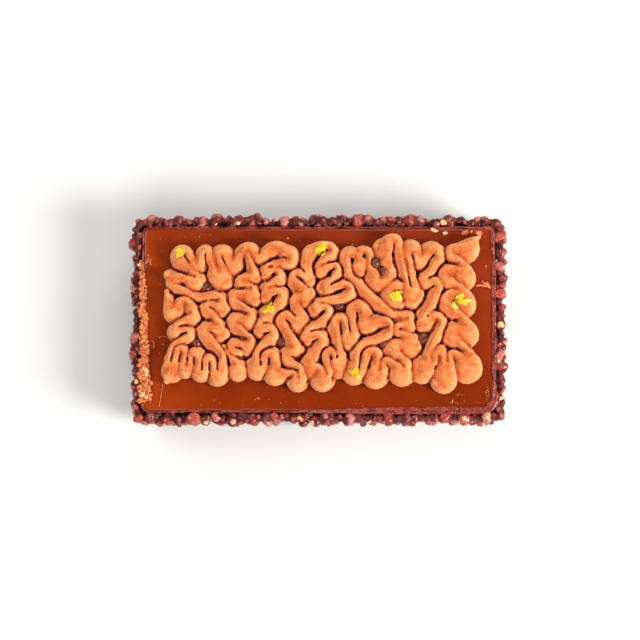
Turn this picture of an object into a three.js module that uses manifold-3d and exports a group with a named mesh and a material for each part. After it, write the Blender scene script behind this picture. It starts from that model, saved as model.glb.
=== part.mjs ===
// A rectangular entremet: a block coated in chocolate and chopped nuts, a caramel glaze
// lying inside the coat's raised rim, and one long ribbon of piped cream on the glaze.
// Millimetres, +Z up, the origin at the middle of the underside, the long side along X.
import * as THREE from "three";
import { mergeVertices } from "three/addons/utils/BufferGeometryUtils.js";
import { ConvexGeometry } from "three/addons/geometries/ConvexGeometry.js";
import Module from "manifold-3d";

const wasm = await Module();
wasm.setup();

// ---- driving dimensions -------------------------------------------------------------
const GLAZE_LENGTH = 200;
const GLAZE_WIDTH = 104;
const GLAZE_THICK = 3;
const GLAZE_CORNER = 6;
const COAT_WALL = 1.6;
const FOOT_LENGTH = 212;
const FOOT_WIDTH = 116;
const SHOULDER_LENGTH = 211;
const SHOULDER_WIDTH = 115;
const CORE_HEIGHT = 40;
const RIM_HEIGHT = 1.1;
const RIM_WAVE = 0.45;
const GAP = 0.3;
const CREAM_HEIGHT = 11.8;
const RIDGE_HALF = 1.2;
const BROAD_BELLY = 5.4;
const SHOULDER_SHARE = 0.58;
const DOME_SHARE = 0.82;
const LEAN_LEFT = 0.25;
const LEG_SHOULDER = 0.88;
const LEG_BELLY = 3.8;
const SLIM_BELLY = 2.6;
const LEG_KEEP = 1;
const WIDE_WHEEL = 3.9;
const SLIGHT_TURN = 1.1;
const LEG_LEAN = [0.2, -0.9];
const LONG_LEG = 16;
const LEAST_LEG = 1;
const JOIN = 0.3;
const NUT_RADIUS = 4.3;
const NUT_ROWS = [6, 16.5, 27, 37.5];
const NUT_SPACING = 31.5;
const NUT_SUNK = 0.4;
const LEAF_THICK = 0.5;

const RECESS_FLOOR = CORE_HEIGHT - GAP;
const GLAZE_TOP = CORE_HEIGHT + GLAZE_THICK;
const CREAM_BASE = GLAZE_TOP + GAP;
const CREAM_TOP = CREAM_BASE + CREAM_HEIGHT;

// ---- the ribbon's route ---------------------------------------------------------------
// The ribbon runs like a belt round small wheels. Each wheel is
// [x, y, turn, wheel radius, belly radius, belly offset x, belly offset y], where turn is
// 1 for clockwise seen from above, -1 for the other way and 0 for a plain point.
const leftColumn = [
  [-86.4, 16.2, 0, 0, 2, 0, -0.6], [-82.9, 7.1, -1, 2, 4.7, 0.5, -4],
  [-76.1, 8.3, 1, 2.8, 3.1, 0, -0.6], [-73.2, 3.7, 1, 2.3, 3.7, 0, -2.3],
  [-78.9, -4.8, -1, 1.7, 4.6, -2, -3.4], [-75, -8.3, 1, 2, 3.4, -0.3, -1.1],
  [-77.8, -19.1, -1, 6.3, 2.4],
];
const bottomLeft = [
  [-83.8, -24.2, -1, 1.7, 4.8, 0.2, -6.6], [-78.1, -19.4, 1, 2.3, 3.3, 0, 0],
  [-74.7, -26.5, -1, 1.7, 4.6, -1.4, -2], [-70.7, -22.5, 1, 2, 3.6, 0.3, 1.1],
  [-66.1, -29.4, -1, 1.7, 4.8, -1.1, -1.1], [-61.8, -25.4, 1, 1.7, 3.4, -0.6, 0.9],
  [-57.3, -29.1, -1, 1.7, 5.9, -0.6, -2.6], [-60.1, -21.9, -1, 5.7, 3],
];
const secondColumn = [
  [-61.8, -7.7, 1, 2.8, 4, -0.6, 0], [-57, -3.4, -1, 1.3, 5.7, -1.1, -5.1],
  [-61.8, 6.3, 1, 1.7, 4.3, -0.6, -1.1], [-57.3, 10.5, -1, 2.6, 5.1, -0.9, -4],
  [-65.8, 12.5, 0, 0, 3], [-72.7, 13.7, 0, 0, 3],
];
const topLeft = [
  [-82.4, 21.7, 1, 2.3, 3.4, 0, -1.7], [-70.4, 23.7, -1, 1.4, 4.8, -0.3, -3.1],
  [-76.7, 36.2, 1, 2.8, 3.6, -0.9, -0.3], [-69.8, 32.2, -1, 2, 3.4, 0, -0.3],
  [-64.4, 36.5, 1, 1.7, 4, -0.6, 0.9], [-56.7, 26.5, -1, 1.7, 5.1, 1.7, -3.1],
  [-55, 35.1, 1, 2, 4.8, -0.6, 1.1], [-49.3, 32.8, -1, 1.4, 5, 0, -2.8],
  [-40.2, 37.3, 1, 2.8, 5.1, 0.3, -0.6], [-33.9, 37.3, -1, 1.7, 3.4, 0, -2.3],
];
const topMiddle = [
  [-24.2, 34.5, 1, 6.8, 3.7, 0, 0], [-18.2, 34.2, 1, 3.1, 3.7, 0.6, 0],
  [-28.2, 29.1, -1, 1.4, 4, -0.3, -2.3], [-24.8, 25.6, 1, 2.8, 3.8, 0.5, -1.7],
  [-28.5, 17.4, -1, 1.4, 4.3, 0.3, -3.4], [-23.7, 13.1, 1, 2.8, 3.9, 0.7, -1.7],
  [-31.3, -2.8, -1, 1.7, 4.6, -0.3, -3.1],
];
const middleColumn = [
  [-28.2, -8.3, 1, 2.3, 3.4, 0.3, -1.1], [-28.2, -20.8, -1, 7.1, 3],
  [-32.8, -26.5, -1, 1.7, 5.5, -2.3, -2.3], [-28.2, -22.8, 1, 2.8, 3.7, 0.6, 0],
  [-23.4, -29.6, -1, 1.7, 5.6, -1.7, -2], [-15.7, -33.9, 1, 3.4, 3],
  [-11.7, -33.9, -1, 1.1, 6, -0.6, -1.7], [-12.3, -29.4, -1, 2.3, 3],
];
const middleUp = [
  [-15.1, -21.9, 1, 3.4, 2.8, 0.3, -1.1], [-15.1, -15.7, -1, 2, 4.8, 0.6, -4],
  [-18.5, -0.9, 1, 2.6, 3.1, 0, -0.9], [-13.4, 1.4, -1, 1.7, 4.8, 1.7, -4.6],
  [-11.1, 10, 1, 2.8, 2.8, 0, -1.1], [-8.8, 16, -1, 1.1, 4.8, 0.6, -4.6],
  [-12.3, 23.7, 1, 2.3, 3, 0.3, -0.9], [-8, 26.5, -1, 1.4, 4.6, 0, -4],
];
const centreColumn = [
  [3.1, 32.2, 1, 10.3, 3, 0, -0.6], [4.8, 39, 1, 3.4, 3], [1.7, 30.2, -1, 1.4, 3.7, 0.9, -3.4],
  [8.8, 28.2, 1, 2.3, 3, -0.3, -0.9], [7.1, 19.1, -1, 1.4, 4, -2, -1.4],
  [15.1, 16.8, 1, 3.4, 3.3, -0.3, -1.4], [1.1, 8.5, -1, 1.7, 4.3, -1.1, -3.7],
  [3.1, 4.3, 1, 2.8, 3.1, 0, -1.1], [-4.3, -7.4, -1, 1.7, 4.3, -0.9, -2.8],
  [-0.9, -12.3, 1, 2.8, 3.6, 0.4, -0.9],
];
const centreFoot = [
  [-0.9, -21.9, -1, 3.4, 4.8, -2.8, -6.8], [1.4, -28.8, 0, 0, 3],
  [4.8, -31.6, -1, 1.4, 6.3, -2.8, -3.1], [7.1, -21.9, 1, 2.8, 3, -0.3, 0.9],
  [10.5, -22.5, -1, 1.4, 5, 0.6, -6.3],
];
const risingLoop = [
  [12.3, -2.6, 1, 2.8, 3.6, 0, 0], [18, -8, -1, 1.7, 5.1, -0.9, -3.7],
  [21.9, 3.1, 1, 3.4, 3.7, 0.3, 0.3], [27.6, -0.3, -1, 1.7, 4.6, -0.6, -2.8],
  [36.8, -5.4, 1, 4.6, 3.1, 0, -0.3], [29.9, -21.4, -1, 8.5, 3],
];
const bottomMiddle = [
  [22.8, -29.1, -1, 1.7, 5.7, -2.6, -2], [30.2, -21.9, 1, 3.4, 3.4, 0.3, 0.3],
  [34.5, -29.1, -1, 1.7, 6.8, -2.3, -3.1], [39, -26.5, 1, 2.8, 3, 0, -0.3],
  [48.4, -27.4, -1, 1.4, 7.4, -0.9, -3.4],
];
const innerHook = [
  [47.6, -17.4, 1, 2.8, 4.6, -4.6, -0.6], [51.6, -10.3, -1, 1.4, 6, 0, -6.3],
  [45.9, -6, 1, 2.3, 3], [50.4, 0.3, -1, 2, 5.4, -2.3, -4.6], [44.7, 10.5, 1, 8, 3],
  [24.8, 28.8, 1, 8, 3],
];
const topRight = [
  [19.7, 33.9, 1, 3.4, 3.7, -1.1, 1.1], [24.5, 32.8, -1, 1.4, 4.3, -0.9, -4.3],
  [25.9, 36.2, 1, 2.8, 3.7, -0.6, -0.6], [28.5, 29.9, 0, 0, 3], [36.2, 25.4, -1, 4, 4, -1.1, -3.4],
  [41.3, 27.1, 0, 0, 3], [37.9, 31.9, 0, 0, 3], [39.6, 38.5, 0, 0, 5.7, -3.4, 0.9],
  [43, 43, 1, 2.6, 3.7, -0.6, 0], [52.4, 18.2, -1, 1.7, 5.5, 0.6, -4.8],
];
const rightInner = [
  [53.3, 36.2, 1, 2.6, 4.6, -0.9, 2.8], [58.4, 35.1, -1, 1.4, 4.8, -1.1, -1.7],
  [65.8, 36.2, 1, 2.8, 5.1, -1.1, 1.1], [62.7, 22.8, -1, 1.4, 4, -1.1, -1.4],
  [65.8, 18.5, 1, 2.8, 3, 0, -0.3], [61.8, 0.9, -1, 1.4, 4.3, -0.9, -4],
  [65.8, -2.6, 1, 4, 3.1, 0, 0.3], [64.4, -15.7, 0, 0, 3],
];
const bottomRight = [
  [62.1, -20.8, 0, 0, 3], [64.7, -26.2, -1, 1.1, 7.1, -6, -3.7], [68.1, -22.5, 1, 2.6, 4, -0.3, 2],
  [73.2, -28.2, -1, 1.4, 7, -2, -7.1], [76.7, -21.9, 1, 2.3, 2.8, 0, -0.3],
  [86.4, -21.9, -1, 1.4, 8, -1.7, -6.8],
];
const rightColumn = [
  [78.4, -7.7, 1, 2.8, 5.1, 0.6, -2.3], [84.1, -3.4, -1, 1.4, 6.8, 0, -6.3],
  [75.5, 11.7, 1, 3.4, 5.1, 1.7, -3.4], [83.5, 15.1, -1, 1.1, 7.1, -0.9, -7.7],
  [75, 25.4, 1, 3.4, 4.8, 0.6, -2.3], [84.1, 29.4, -1, 1.1, 6.7, -1.4, -6.8],
  [77.8, 37.9, 1, 2.8, 3.1, 0, -0.6], [84.1, 43, 0, 0, 5.1, 1.7, -5.1],
  [91.8, 47.3, 0, 0, 0.9, 0, -0.6],
];
const longRibbon = [
  ...leftColumn, ...bottomLeft, ...secondColumn, ...topLeft, ...topMiddle, ...middleColumn,
  ...middleUp, ...centreColumn, ...centreFoot, ...risingLoop, ...bottomMiddle, ...innerHook,
  ...topRight, ...rightInner, ...bottomRight, ...rightColumn,
];
const shortRibbon = [
  [-40.8, 36.8, 0, 0, 3.1, 0, 0], [-38.5, 26.8, 1, 1.7, 3, 0, -1.7],
  [-43, 21.4, -1, 1.7, 3.6, 0, -1.1], [-38.5, 17.4, 1, 1.7, 3.7, -0.3, -5.4],
  [-45.3, 12.3, -1, 2.8, 3.4, 0, -2], [-40.8, 3.1, 1, 2.8, 4, -0.6, -4.6],
  [-45.9, -2, -1, 2.3, 4, 0, 0], [-40.8, -11.7, 1, 2.8, 4, -1.1, -4],
  [-47, -16.8, -1, 2.3, 3.4, 0, 0], [-44.2, -19.7, 0, 0, 2.8, 0, 0],
];
const shortTip = [
  [-53.9, -15.7, 0, 0, 1.4, 0, 0], [-51, -20.2, 0, 0, 2], [-46.5, -24.8, 0, 0, 3],
  [-45.3, -28.2, 0, 0, 5.9, -0.6, -2.6],
];
const smallCurl = [
  [49.3, 19.1, 0, 0, 2.3, 0, -0.6], [44.5, 15.7, -1, 3.7, 5.1, -1.1, -2.3],
  [44.2, 12.3, 0, 0, 6.8, -0.9, -1.4],
];

// Toppings in the cream: pearls [x, y, height, radius] and gold leaf [x, y, height, length, turn].
const PEARLS = [
  [32.2, 31.4, 9.5, 3.3], [36.8, 27.4, 7, 3.3], [-64.6, 17.4, 3.6, 4], [-69.8, -14, 3.4, 3.6],
  [-45.3, -20.8, 4, 3.3], [12.3, 7.1, 4, 3.3], [-0.9, -21.9, 4.5, 3.3], [59.6, -11.4, 3.8, 4.2],
];
const GOLD_LEAF = [
  [-78.4, 37.3, 11.6, 6, 0.4], [2, 39, 11.6, 8, 2.6], [-28.2, 5.4, 11.6, 6.5, 0.8],
  [44.2, 12.8, 11, 6.5, 0.5], [80.7, 10, 10.4, 10, 0.2], [20.8, -31.1, 11, 6, 2.2],
];

// ---- joining ----------------------------------------------------------------------------
function seeded(seed) {
  let state = seed;
  return () => {
    state = (state * 1664525 + 1013904223) % 4294967296;
    return state / 4294967296;
  };
}

function toSolid(geometry) {
  const bare = new THREE.BufferGeometry();
  bare.setAttribute("position", geometry.getAttribute("position").clone());
  if (geometry.index) bare.setIndex(geometry.index.clone());
  const merged = mergeVertices(bare, 1e-4);
  return new wasm.Manifold(new wasm.Mesh({
    numProp: 3,
    vertProperties: new Float32Array(merged.getAttribute("position").array),
    triVerts: new Uint32Array(merged.index.array),
  }));
}

function hull(points) {
  return toSolid(new ConvexGeometry(points));
}

function joined(solids) {
  let level = solids;
  while (level.length > 1) {
    const next = [];
    for (let i = 0; i < level.length; i += 2) {
      next.push(i + 1 < level.length ? level[i].add(level[i + 1]) : level[i]);
    }
    level = next;
  }
  return level[0];
}

function meshOf(solid, name, colour, roughness) {
  const out = solid.getMesh();
  const geometry = new THREE.BufferGeometry();
  geometry.setAttribute("position", new THREE.BufferAttribute(out.vertProperties, 3));
  geometry.setIndex(new THREE.BufferAttribute(out.triVerts, 1));
  geometry.computeVertexNormals();
  const material = new THREE.MeshStandardMaterial({ color: colour, roughness });
  const mesh = new THREE.Mesh(geometry, material);
  mesh.name = name;
  return mesh;
}

// ---- rings and lofts ----------------------------------------------------------------------
// A rounded rectangle of length by width, its long sides cut into `across` steps.
function roundedRing(length, width, corner, z, across, arcSteps, wave = 0) {
  const points = [];
  const halfX = length / 2 - corner;
  const halfY = width / 2 - corner;
  const along = Math.ceil(across / 2);
  const sides = [[1, 1, along, 0], [-1, 1, across, 1], [-1, -1, along, 2], [1, -1, across, 3]];
  for (const [signX, signY, , quarter] of sides) {
    for (let i = 0; i <= arcSteps; i += 1) {
      const angle = (quarter + i / arcSteps) * Math.PI / 2;
      points.push([
        signX * halfX + corner * Math.cos(angle), signY * halfY + corner * Math.sin(angle),
      ]);
    }
    const next = sides[(quarter + 1) % 4];
    const start = points[points.length - 1];
    const firstAngle = (quarter + 1) * Math.PI / 2;
    const end = [
      next[0] * halfX + corner * Math.cos(firstAngle),
      next[1] * halfY + corner * Math.sin(firstAngle),
    ];
    const steps = quarter % 2 === 0 ? across : along;
    for (let i = 1; i < steps; i += 1) {
      const t = i / steps;
      points.push([start[0] + (end[0] - start[0]) * t, start[1] + (end[1] - start[1]) * t]);
    }
  }
  return points.map(([x, y]) => new THREE.Vector3(
    x, y, z + wave * (Math.sin(x * 0.21 + y * 0.33) + 0.6 * Math.sin(x * 0.47 - y * 0.6)) / 1.6,
  ));
}

// Joins rings of equal point counts into one closed solid with a flat cap at each end.
function loft(rings) {
  const count = rings[0].length;
  const position = [];
  const index = [];
  for (const ring of rings) {
    for (const p of ring) position.push(p.x, p.y, p.z);
  }
  for (let k = 0; k + 1 < rings.length; k += 1) {
    for (let i = 0; i < count; i += 1) {
      const j = (i + 1) % count;
      const a = k * count + i;
      const b = k * count + j;
      index.push(a, b, b + count, a, b + count, a + count);
    }
  }
  const first = position.length / 3;
  const last = rings[rings.length - 1];
  position.push(0, 0, rings[0][0].z, 0, 0, last[0].z);
  const top = (rings.length - 1) * count;
  for (let i = 0; i < count; i += 1) {
    const j = (i + 1) % count;
    index.push(first, j, i, first + 1, top + i, top + j);
  }
  const geometry = new THREE.BufferGeometry();
  geometry.setAttribute("position", new THREE.Float32BufferAttribute(position, 3));
  geometry.setIndex(index);
  return geometry;
}

// A lumpy closed grain: an icosahedron pulled about by a seeded draw.
function grain(radius, squash, random) {
  const base = mergeVertices(new THREE.IcosahedronGeometry(1, 0).deleteAttribute("uv")
    .deleteAttribute("normal"), 1e-4);
  const spot = base.getAttribute("position");
  for (let i = 0; i < spot.count; i += 1) {
    const swell = radius * (0.82 + 0.3 * random());
    spot.setXYZ(i, spot.getX(i) * swell, spot.getY(i) * swell, spot.getZ(i) * swell * squash);
  }
  base.rotateX(random() * Math.PI);
  base.rotateZ(random() * Math.PI * 2);
  return base;
}

// ---- the coated body -------------------------------------------------------------------------
// Brings a point inside a rectangle whose corners are rounded.
function insideCorner(x, y, halfX, halfY, corner) {
  const overX = Math.min(Math.abs(x), halfX) - (halfX - corner);
  const overY = Math.min(Math.abs(y), halfY) - (halfY - corner);
  const reach = Math.hypot(Math.max(overX, 0), Math.max(overY, 0));
  const share = reach > corner ? corner / reach : 1;
  const keptX = overX > 0 ? halfX - corner + overX * share : Math.abs(x);
  const keptY = overY > 0 ? halfY - corner + overY * share : Math.abs(y);
  return [Math.sign(x) * keptX, Math.sign(y) * keptY];
}

function nutsRound(random) {
  const nuts = [];
  NUT_ROWS.forEach((z, row) => {
    const share = z / CORE_HEIGHT;
    const length = FOOT_LENGTH + (SHOULDER_LENGTH - FOOT_LENGTH) * share;
    const width = FOOT_WIDTH + (SHOULDER_WIDTH - FOOT_WIDTH) * share;
    const around = 2 * (length + width);
    const count = Math.round(around / NUT_SPACING);
    for (let i = 0; i < count; i += 1) {
      let way = (around * (i + 0.5 * (row % 2) + 0.5 * (random() - 0.5)) / count) % around;
      let x = 0;
      let y = 0;
      if (way < length) {
        [x, y] = [way - length / 2, -width / 2];
      } else if ((way -= length) < width) {
        [x, y] = [length / 2, way - width / 2];
      } else if ((way -= width) < length) {
        [x, y] = [length / 2 - way, width / 2];
      } else {
        way -= length;
        [x, y] = [-length / 2, width / 2 - way];
      }
      const radius = NUT_RADIUS * (0.8 + 0.35 * random());
      const nut = grain(radius, 0.75, random);
      [x, y] = insideCorner(x, y, length / 2 - NUT_SUNK, width / 2 - NUT_SUNK, 9);
      nut.translate(x, y, Math.max(z + 4 * (random() - 0.5), radius + 0.4));
      nuts.push(toSolid(nut));
    }
  });
  return nuts;
}

function coatedBody() {
  const across = 22;
  const steps = 3;
  const recessLength = GLAZE_LENGTH + 2 * GAP;
  const recessWidth = GLAZE_WIDTH + 2 * GAP;
  const rimLength = recessLength + 2 * COAT_WALL;
  const rimWidth = recessWidth + 2 * COAT_WALL;
  const crest = GLAZE_TOP + RIM_HEIGHT;
  const block = toSolid(loft([
    roundedRing(FOOT_LENGTH, FOOT_WIDTH, 9, 0, across, steps),
    roundedRing(SHOULDER_LENGTH, SHOULDER_WIDTH, 9, CORE_HEIGHT - 1, across, steps),
    roundedRing(rimLength + 3, rimWidth + 3, 8.5, GLAZE_TOP - 0.8, across, steps),
    roundedRing(rimLength, rimWidth, 8, crest, across, steps, RIM_WAVE),
    roundedRing(recessLength + 0.8, recessWidth + 0.8, GLAZE_CORNER, crest - 0.2, across, steps,
      RIM_WAVE),
    roundedRing(recessLength, recessWidth, GLAZE_CORNER, RECESS_FLOOR, across, steps),
  ]));
  return joined([block, ...nutsRound(seeded(11))]);
}

// ---- the caramel glaze ---------------------------------------------------------------------------
function caramelGlaze() {
  const slab = toSolid(loft([
    roundedRing(GLAZE_LENGTH - 0.8, GLAZE_WIDTH - 0.8, GLAZE_CORNER, CORE_HEIGHT, 4, 3),
    roundedRing(GLAZE_LENGTH, GLAZE_WIDTH, GLAZE_CORNER, CORE_HEIGHT + 0.5, 4, 3),
    roundedRing(GLAZE_LENGTH, GLAZE_WIDTH, GLAZE_CORNER, GLAZE_TOP - 0.7, 4, 3),
    roundedRing(GLAZE_LENGTH - 1.4, GLAZE_WIDTH - 1.4, GLAZE_CORNER, GLAZE_TOP, 4, 3),
  ]));
  const random = seeded(5);
  const crumbs = [];
  for (let i = 0; i < 7; i += 1) {
    const crumb = grain(1.7 + 0.6 * random(), 0.7, random);
    const y = 26 - i * 11 + 3 * random();
    crumb.translate(-GLAZE_LENGTH / 2 + 3.2 + 0.35 * i * random(), y, GLAZE_TOP + 0.3);
    crumbs.push(toSolid(crumb));
  }
  return joined([slab, ...crumbs]);
}

// ---- the piped cream -----------------------------------------------------------------------------
// The straight between two wheels touches both: its start, its end and its heading.
function straight(a, b) {
  const dx = b.x - a.x;
  const dy = b.y - a.y;
  const distance = Math.hypot(dx, dy);
  const lift = Math.asin(THREE.MathUtils.clamp((b.turn * b.wheel - a.turn * a.wheel) / distance,
    -1, 1));
  const heading = Math.atan2(dy, dx) + lift;
  const side = [-Math.sin(heading), Math.cos(heading)];
  return {
    start: [a.x + a.turn * a.wheel * side[0], a.y + a.turn * a.wheel * side[1]],
    end: [b.x + b.turn * b.wheel * side[0], b.y + b.turn * b.wheel * side[1]],
    heading,
  };
}

// A packed ribbon swells against its neighbours, so only its slim ends stay slim.
function wheelsOf(list) {
  return list.map(([x, y, turn, wheel, belly, leanX, leanY]) => ({
    x, y, turn, wheel: turn === 0 ? 0 : wheel,
    belly: belly > SLIM_BELLY ? Math.max(belly, LEG_BELLY) : belly,
    leanX: leanX ?? LEG_LEAN[0], leanY: leanY ?? LEG_LEAN[1],
  }));
}

function disc(points, x, y, z, radius, sides, phase = 0) {
  for (let i = 0; i < sides; i += 1) {
    const angle = phase + i * 2 * Math.PI / sides;
    points.push(new THREE.Vector3(x + radius * Math.cos(angle), y + radius * Math.sin(angle), z));
  }
}

// One section across the ribbon: full at the foot, still full at the shoulder, then
// drawn in to the narrow ridge, whose place differs from the foot's by the lean.
function section(points, x, y, heading, belly, leanX, leanY) {
  const [nx, ny] = [-Math.sin(heading), Math.cos(heading)];
  for (const side of [-1, 1]) {
    const foot = side * belly;
    const shoulder = foot * LEG_SHOULDER;
    const ridge = side * RIDGE_HALF;
    const raised = 1 - LEAN_LEFT;
    points.push(new THREE.Vector3(x + leanX + foot * nx, y + leanY + foot * ny, CREAM_BASE));
    points.push(new THREE.Vector3(
      x + leanX * raised + shoulder * nx, y + leanY * raised + shoulder * ny,
      CREAM_BASE + SHOULDER_SHARE * CREAM_HEIGHT,
    ));
    points.push(new THREE.Vector3(x + ridge * nx, y + ridge * ny, CREAM_TOP));
  }
}

// A stretch of ribbon through some stops: one hull from each stop to the next. `join`
// makes its two ends reach into what they meet.
function stretch(stops, join) {
  const hulls = [];
  const last = stops.length - 1;
  for (let i = 0; i < last; i += 1) {
    const points = [];
    const early = i === 0 ? -join : 0;
    const late = i + 1 === last ? join : 0;
    for (const [stop, step] of [[stops[i], early], [stops[i + 1], late]]) {
      const [x, y, heading, ...size] = stop;
      section(points, x + step * Math.cos(heading), y + step * Math.sin(heading), heading, ...size);
    }
    hulls.push(hull(points));
  }
  return hulls;
}

function eased(share, wheel) {
  return [
    LEG_BELLY + share * (wheel.belly - LEG_BELLY),
    LEG_LEAN[0] + 0.5 * share * (wheel.leanX - LEG_LEAN[0]),
    LEG_LEAN[1] + 0.5 * share * (wheel.leanY - LEG_LEAN[1]),
  ];
}

// A straight leg keeps the width of the turns at its ends, and a long one thins between.
function legHulls(line, from, to, length) {
  const stops = [[...line.start, line.heading, ...eased(LEG_KEEP, from)]];
  if (length > LONG_LEG) {
    const middle = [(line.start[0] + line.end[0]) / 2, (line.start[1] + line.end[1]) / 2];
    stops.push([...middle, line.heading, LEG_BELLY, ...LEG_LEAN]);
  }
  stops.push([...line.end, line.heading, ...eased(LEG_KEEP, to)]);
  return stretch(stops, 0);
}

// The angle that the ribbon turns through round a wheel, from its arrival to its leaving.
function arcOf(wheel, arrive, leave) {
  const from = Math.atan2(arrive[1] - wheel.y, arrive[0] - wheel.x);
  const to = Math.atan2(leave[1] - wheel.y, leave[0] - wheel.x);
  const turned = wheel.turn * (from - to);
  let sweep = wheel.turn === 0 ? 0 : (turned % (2 * Math.PI) + 2 * Math.PI) % (2 * Math.PI);
  if (sweep > 1.9 * Math.PI) sweep = 0;
  return { from, sweep };
}

// A wide bend, as stops round its wheel.
function bendHulls(wheel, { from, sweep }) {
  const steps = Math.max(1, Math.ceil(sweep * wheel.wheel / 5));
  const stops = [];
  for (let i = 0; i <= steps; i += 1) {
    const angle = from - wheel.turn * sweep * i / steps;
    const heading = angle - wheel.turn * Math.PI / 2;
    stops.push([
      wheel.x + wheel.wheel * Math.cos(angle), wheel.y + wheel.wheel * Math.sin(angle), heading,
      wheel.belly, wheel.leanX, wheel.leanY,
    ]);
  }
  return stretch(stops, JOIN);
}

// A tight turn: a round belly below and the ridge's arc above, domed in between.
function turnHull(wheel, { from, sweep }) {
  const points = [];
  const broad = wheel.belly > BROAD_BELLY;
  const sides = broad ? 7 : 6;
  const full = 1 / Math.cos(Math.PI / sides) ** 0.6;
  const raised = 1 - LEAN_LEFT;
  const round = (wheel.belly + wheel.wheel) * full;
  disc(points, wheel.x + wheel.leanX, wheel.y + wheel.leanY, CREAM_BASE, round, sides);
  disc(points, wheel.x + wheel.leanX * raised, wheel.y + wheel.leanY * raised,
    CREAM_BASE + SHOULDER_SHARE * CREAM_HEIGHT, round * LEG_SHOULDER, sides);
  if (broad) {
    disc(points, wheel.x + wheel.leanX * 0.6, wheel.y + wheel.leanY * 0.6,
      CREAM_BASE + DOME_SHARE * CREAM_HEIGHT, round * 0.62, 6, 0.3);
  }
  const steps = Math.max(1, Math.ceil(sweep / 1.4));
  const reach = wheel.wheel + RIDGE_HALF;
  if (wheel.turn === 0) {
    disc(points, wheel.x, wheel.y, CREAM_TOP, RIDGE_HALF, 4);
  } else {
    for (let i = 0; i <= steps; i += 1) {
      const angle = from - wheel.turn * sweep * i / steps;
      points.push(new THREE.Vector3(
        wheel.x + reach * Math.cos(angle), wheel.y + reach * Math.sin(angle), CREAM_TOP,
      ));
    }
  }
  return hull(points);
}

function ribbon(list) {
  const wheels = wheelsOf(list);
  const lines = [];
  for (let i = 0; i + 1 < wheels.length; i += 1) lines.push(straight(wheels[i], wheels[i + 1]));
  const parts = [];
  lines.forEach((line, i) => {
    const length = Math.hypot(line.end[0] - line.start[0], line.end[1] - line.start[1]);
    if (length > LEAST_LEG) parts.push(...legHulls(line, wheels[i], wheels[i + 1], length));
  });
  wheels.forEach((wheel, i) => {
    const arrive = i > 0 ? lines[i - 1].end : lines[i].start;
    const leave = i < lines.length ? lines[i].start : arrive;
    const arc = arcOf(wheel, arrive, leave);
    const end = i === 0 || i === wheels.length - 1;
    if (wheel.wheel > WIDE_WHEEL) parts.push(...bendHulls(wheel, arc));
    else if (end || arc.sweep > SLIGHT_TURN || wheel.belly > BROAD_BELLY) parts.push(turnHull(wheel, arc));
  });
  return parts;
}

function goldLeaf([x, y, height, length, turn], random) {
  const points = [];
  for (let i = 0; i < 6; i += 1) {
    const angle = i * Math.PI / 3 + 0.5 * random();
    const reach = length * 0.5 * (0.75 + 0.25 * random());
    for (const z of [-0.6 * LEAF_THICK, LEAF_THICK]) {
      points.push(new THREE.Vector3(reach * Math.cos(angle), 0.5 * reach * Math.sin(angle), z));
    }
  }
  const leaf = new ConvexGeometry(points);
  leaf.rotateX(0.14);
  leaf.rotateZ(turn);
  leaf.translate(x, y, CREAM_BASE + height);
  return toSolid(leaf);
}

function pearl([x, y, height, radius], random) {
  const ball = grain(radius * 1.05, 0.95, random);
  ball.translate(x, y, CREAM_BASE + height);
  return toSolid(ball);
}

function pipedCream() {
  const random = seeded(23);
  const slice = new THREE.BoxGeometry(2 * GLAZE_LENGTH, 2 * GLAZE_WIDTH, CREAM_HEIGHT);
  slice.translate(0, 0, CREAM_BASE + CREAM_HEIGHT / 2);
  const cream = joined([
    ...ribbon(longRibbon), ...ribbon(shortRibbon), ...ribbon(shortTip), ...ribbon(smallCurl),
  ]).intersect(toSolid(slice));
  return joined([
    cream,
    ...GOLD_LEAF.map((leaf) => goldLeaf(leaf, random)),
    ...PEARLS.map((spot) => pearl(spot, random)),
  ]);
}

// ---- the whole --------------------------------------------------------------------------------------
const entremet = new THREE.Group();
entremet.name = "entremet";
entremet.add(meshOf(coatedBody(), "cake_body", 0x4a1712, 0.35));
entremet.add(meshOf(caramelGlaze(), "caramel_glaze", 0x7a2a0c, 0.15));
entremet.add(meshOf(pipedCream(), "piped_cream", 0xd98a58, 0.6));

export default entremet;
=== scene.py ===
"""A rectangular entremet, dressed: a block rolled in chocolate and chopped nuts, a caramel
glaze inside the coat's raised rim, and one long ribbon of piped cream on the glaze."""
import math
import random

import bpy
import numpy as np
from mathutils import Matrix, Vector, noise
from mathutils.bvhtree import BVHTree


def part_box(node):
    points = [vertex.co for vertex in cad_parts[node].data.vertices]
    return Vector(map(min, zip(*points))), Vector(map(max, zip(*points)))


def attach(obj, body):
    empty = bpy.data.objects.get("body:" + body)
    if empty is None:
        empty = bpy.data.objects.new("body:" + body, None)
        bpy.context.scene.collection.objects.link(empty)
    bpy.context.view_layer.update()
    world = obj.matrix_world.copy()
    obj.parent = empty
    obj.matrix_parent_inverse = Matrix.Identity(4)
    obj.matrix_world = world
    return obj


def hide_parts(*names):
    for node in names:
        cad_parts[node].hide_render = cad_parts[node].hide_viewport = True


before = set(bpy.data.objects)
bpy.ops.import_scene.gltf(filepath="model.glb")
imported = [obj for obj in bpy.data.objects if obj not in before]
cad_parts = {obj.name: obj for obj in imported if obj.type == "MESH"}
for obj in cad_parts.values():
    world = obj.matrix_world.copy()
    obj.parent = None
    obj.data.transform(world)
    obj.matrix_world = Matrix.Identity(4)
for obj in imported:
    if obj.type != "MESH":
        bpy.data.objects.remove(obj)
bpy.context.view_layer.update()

MM = 0.001

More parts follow.
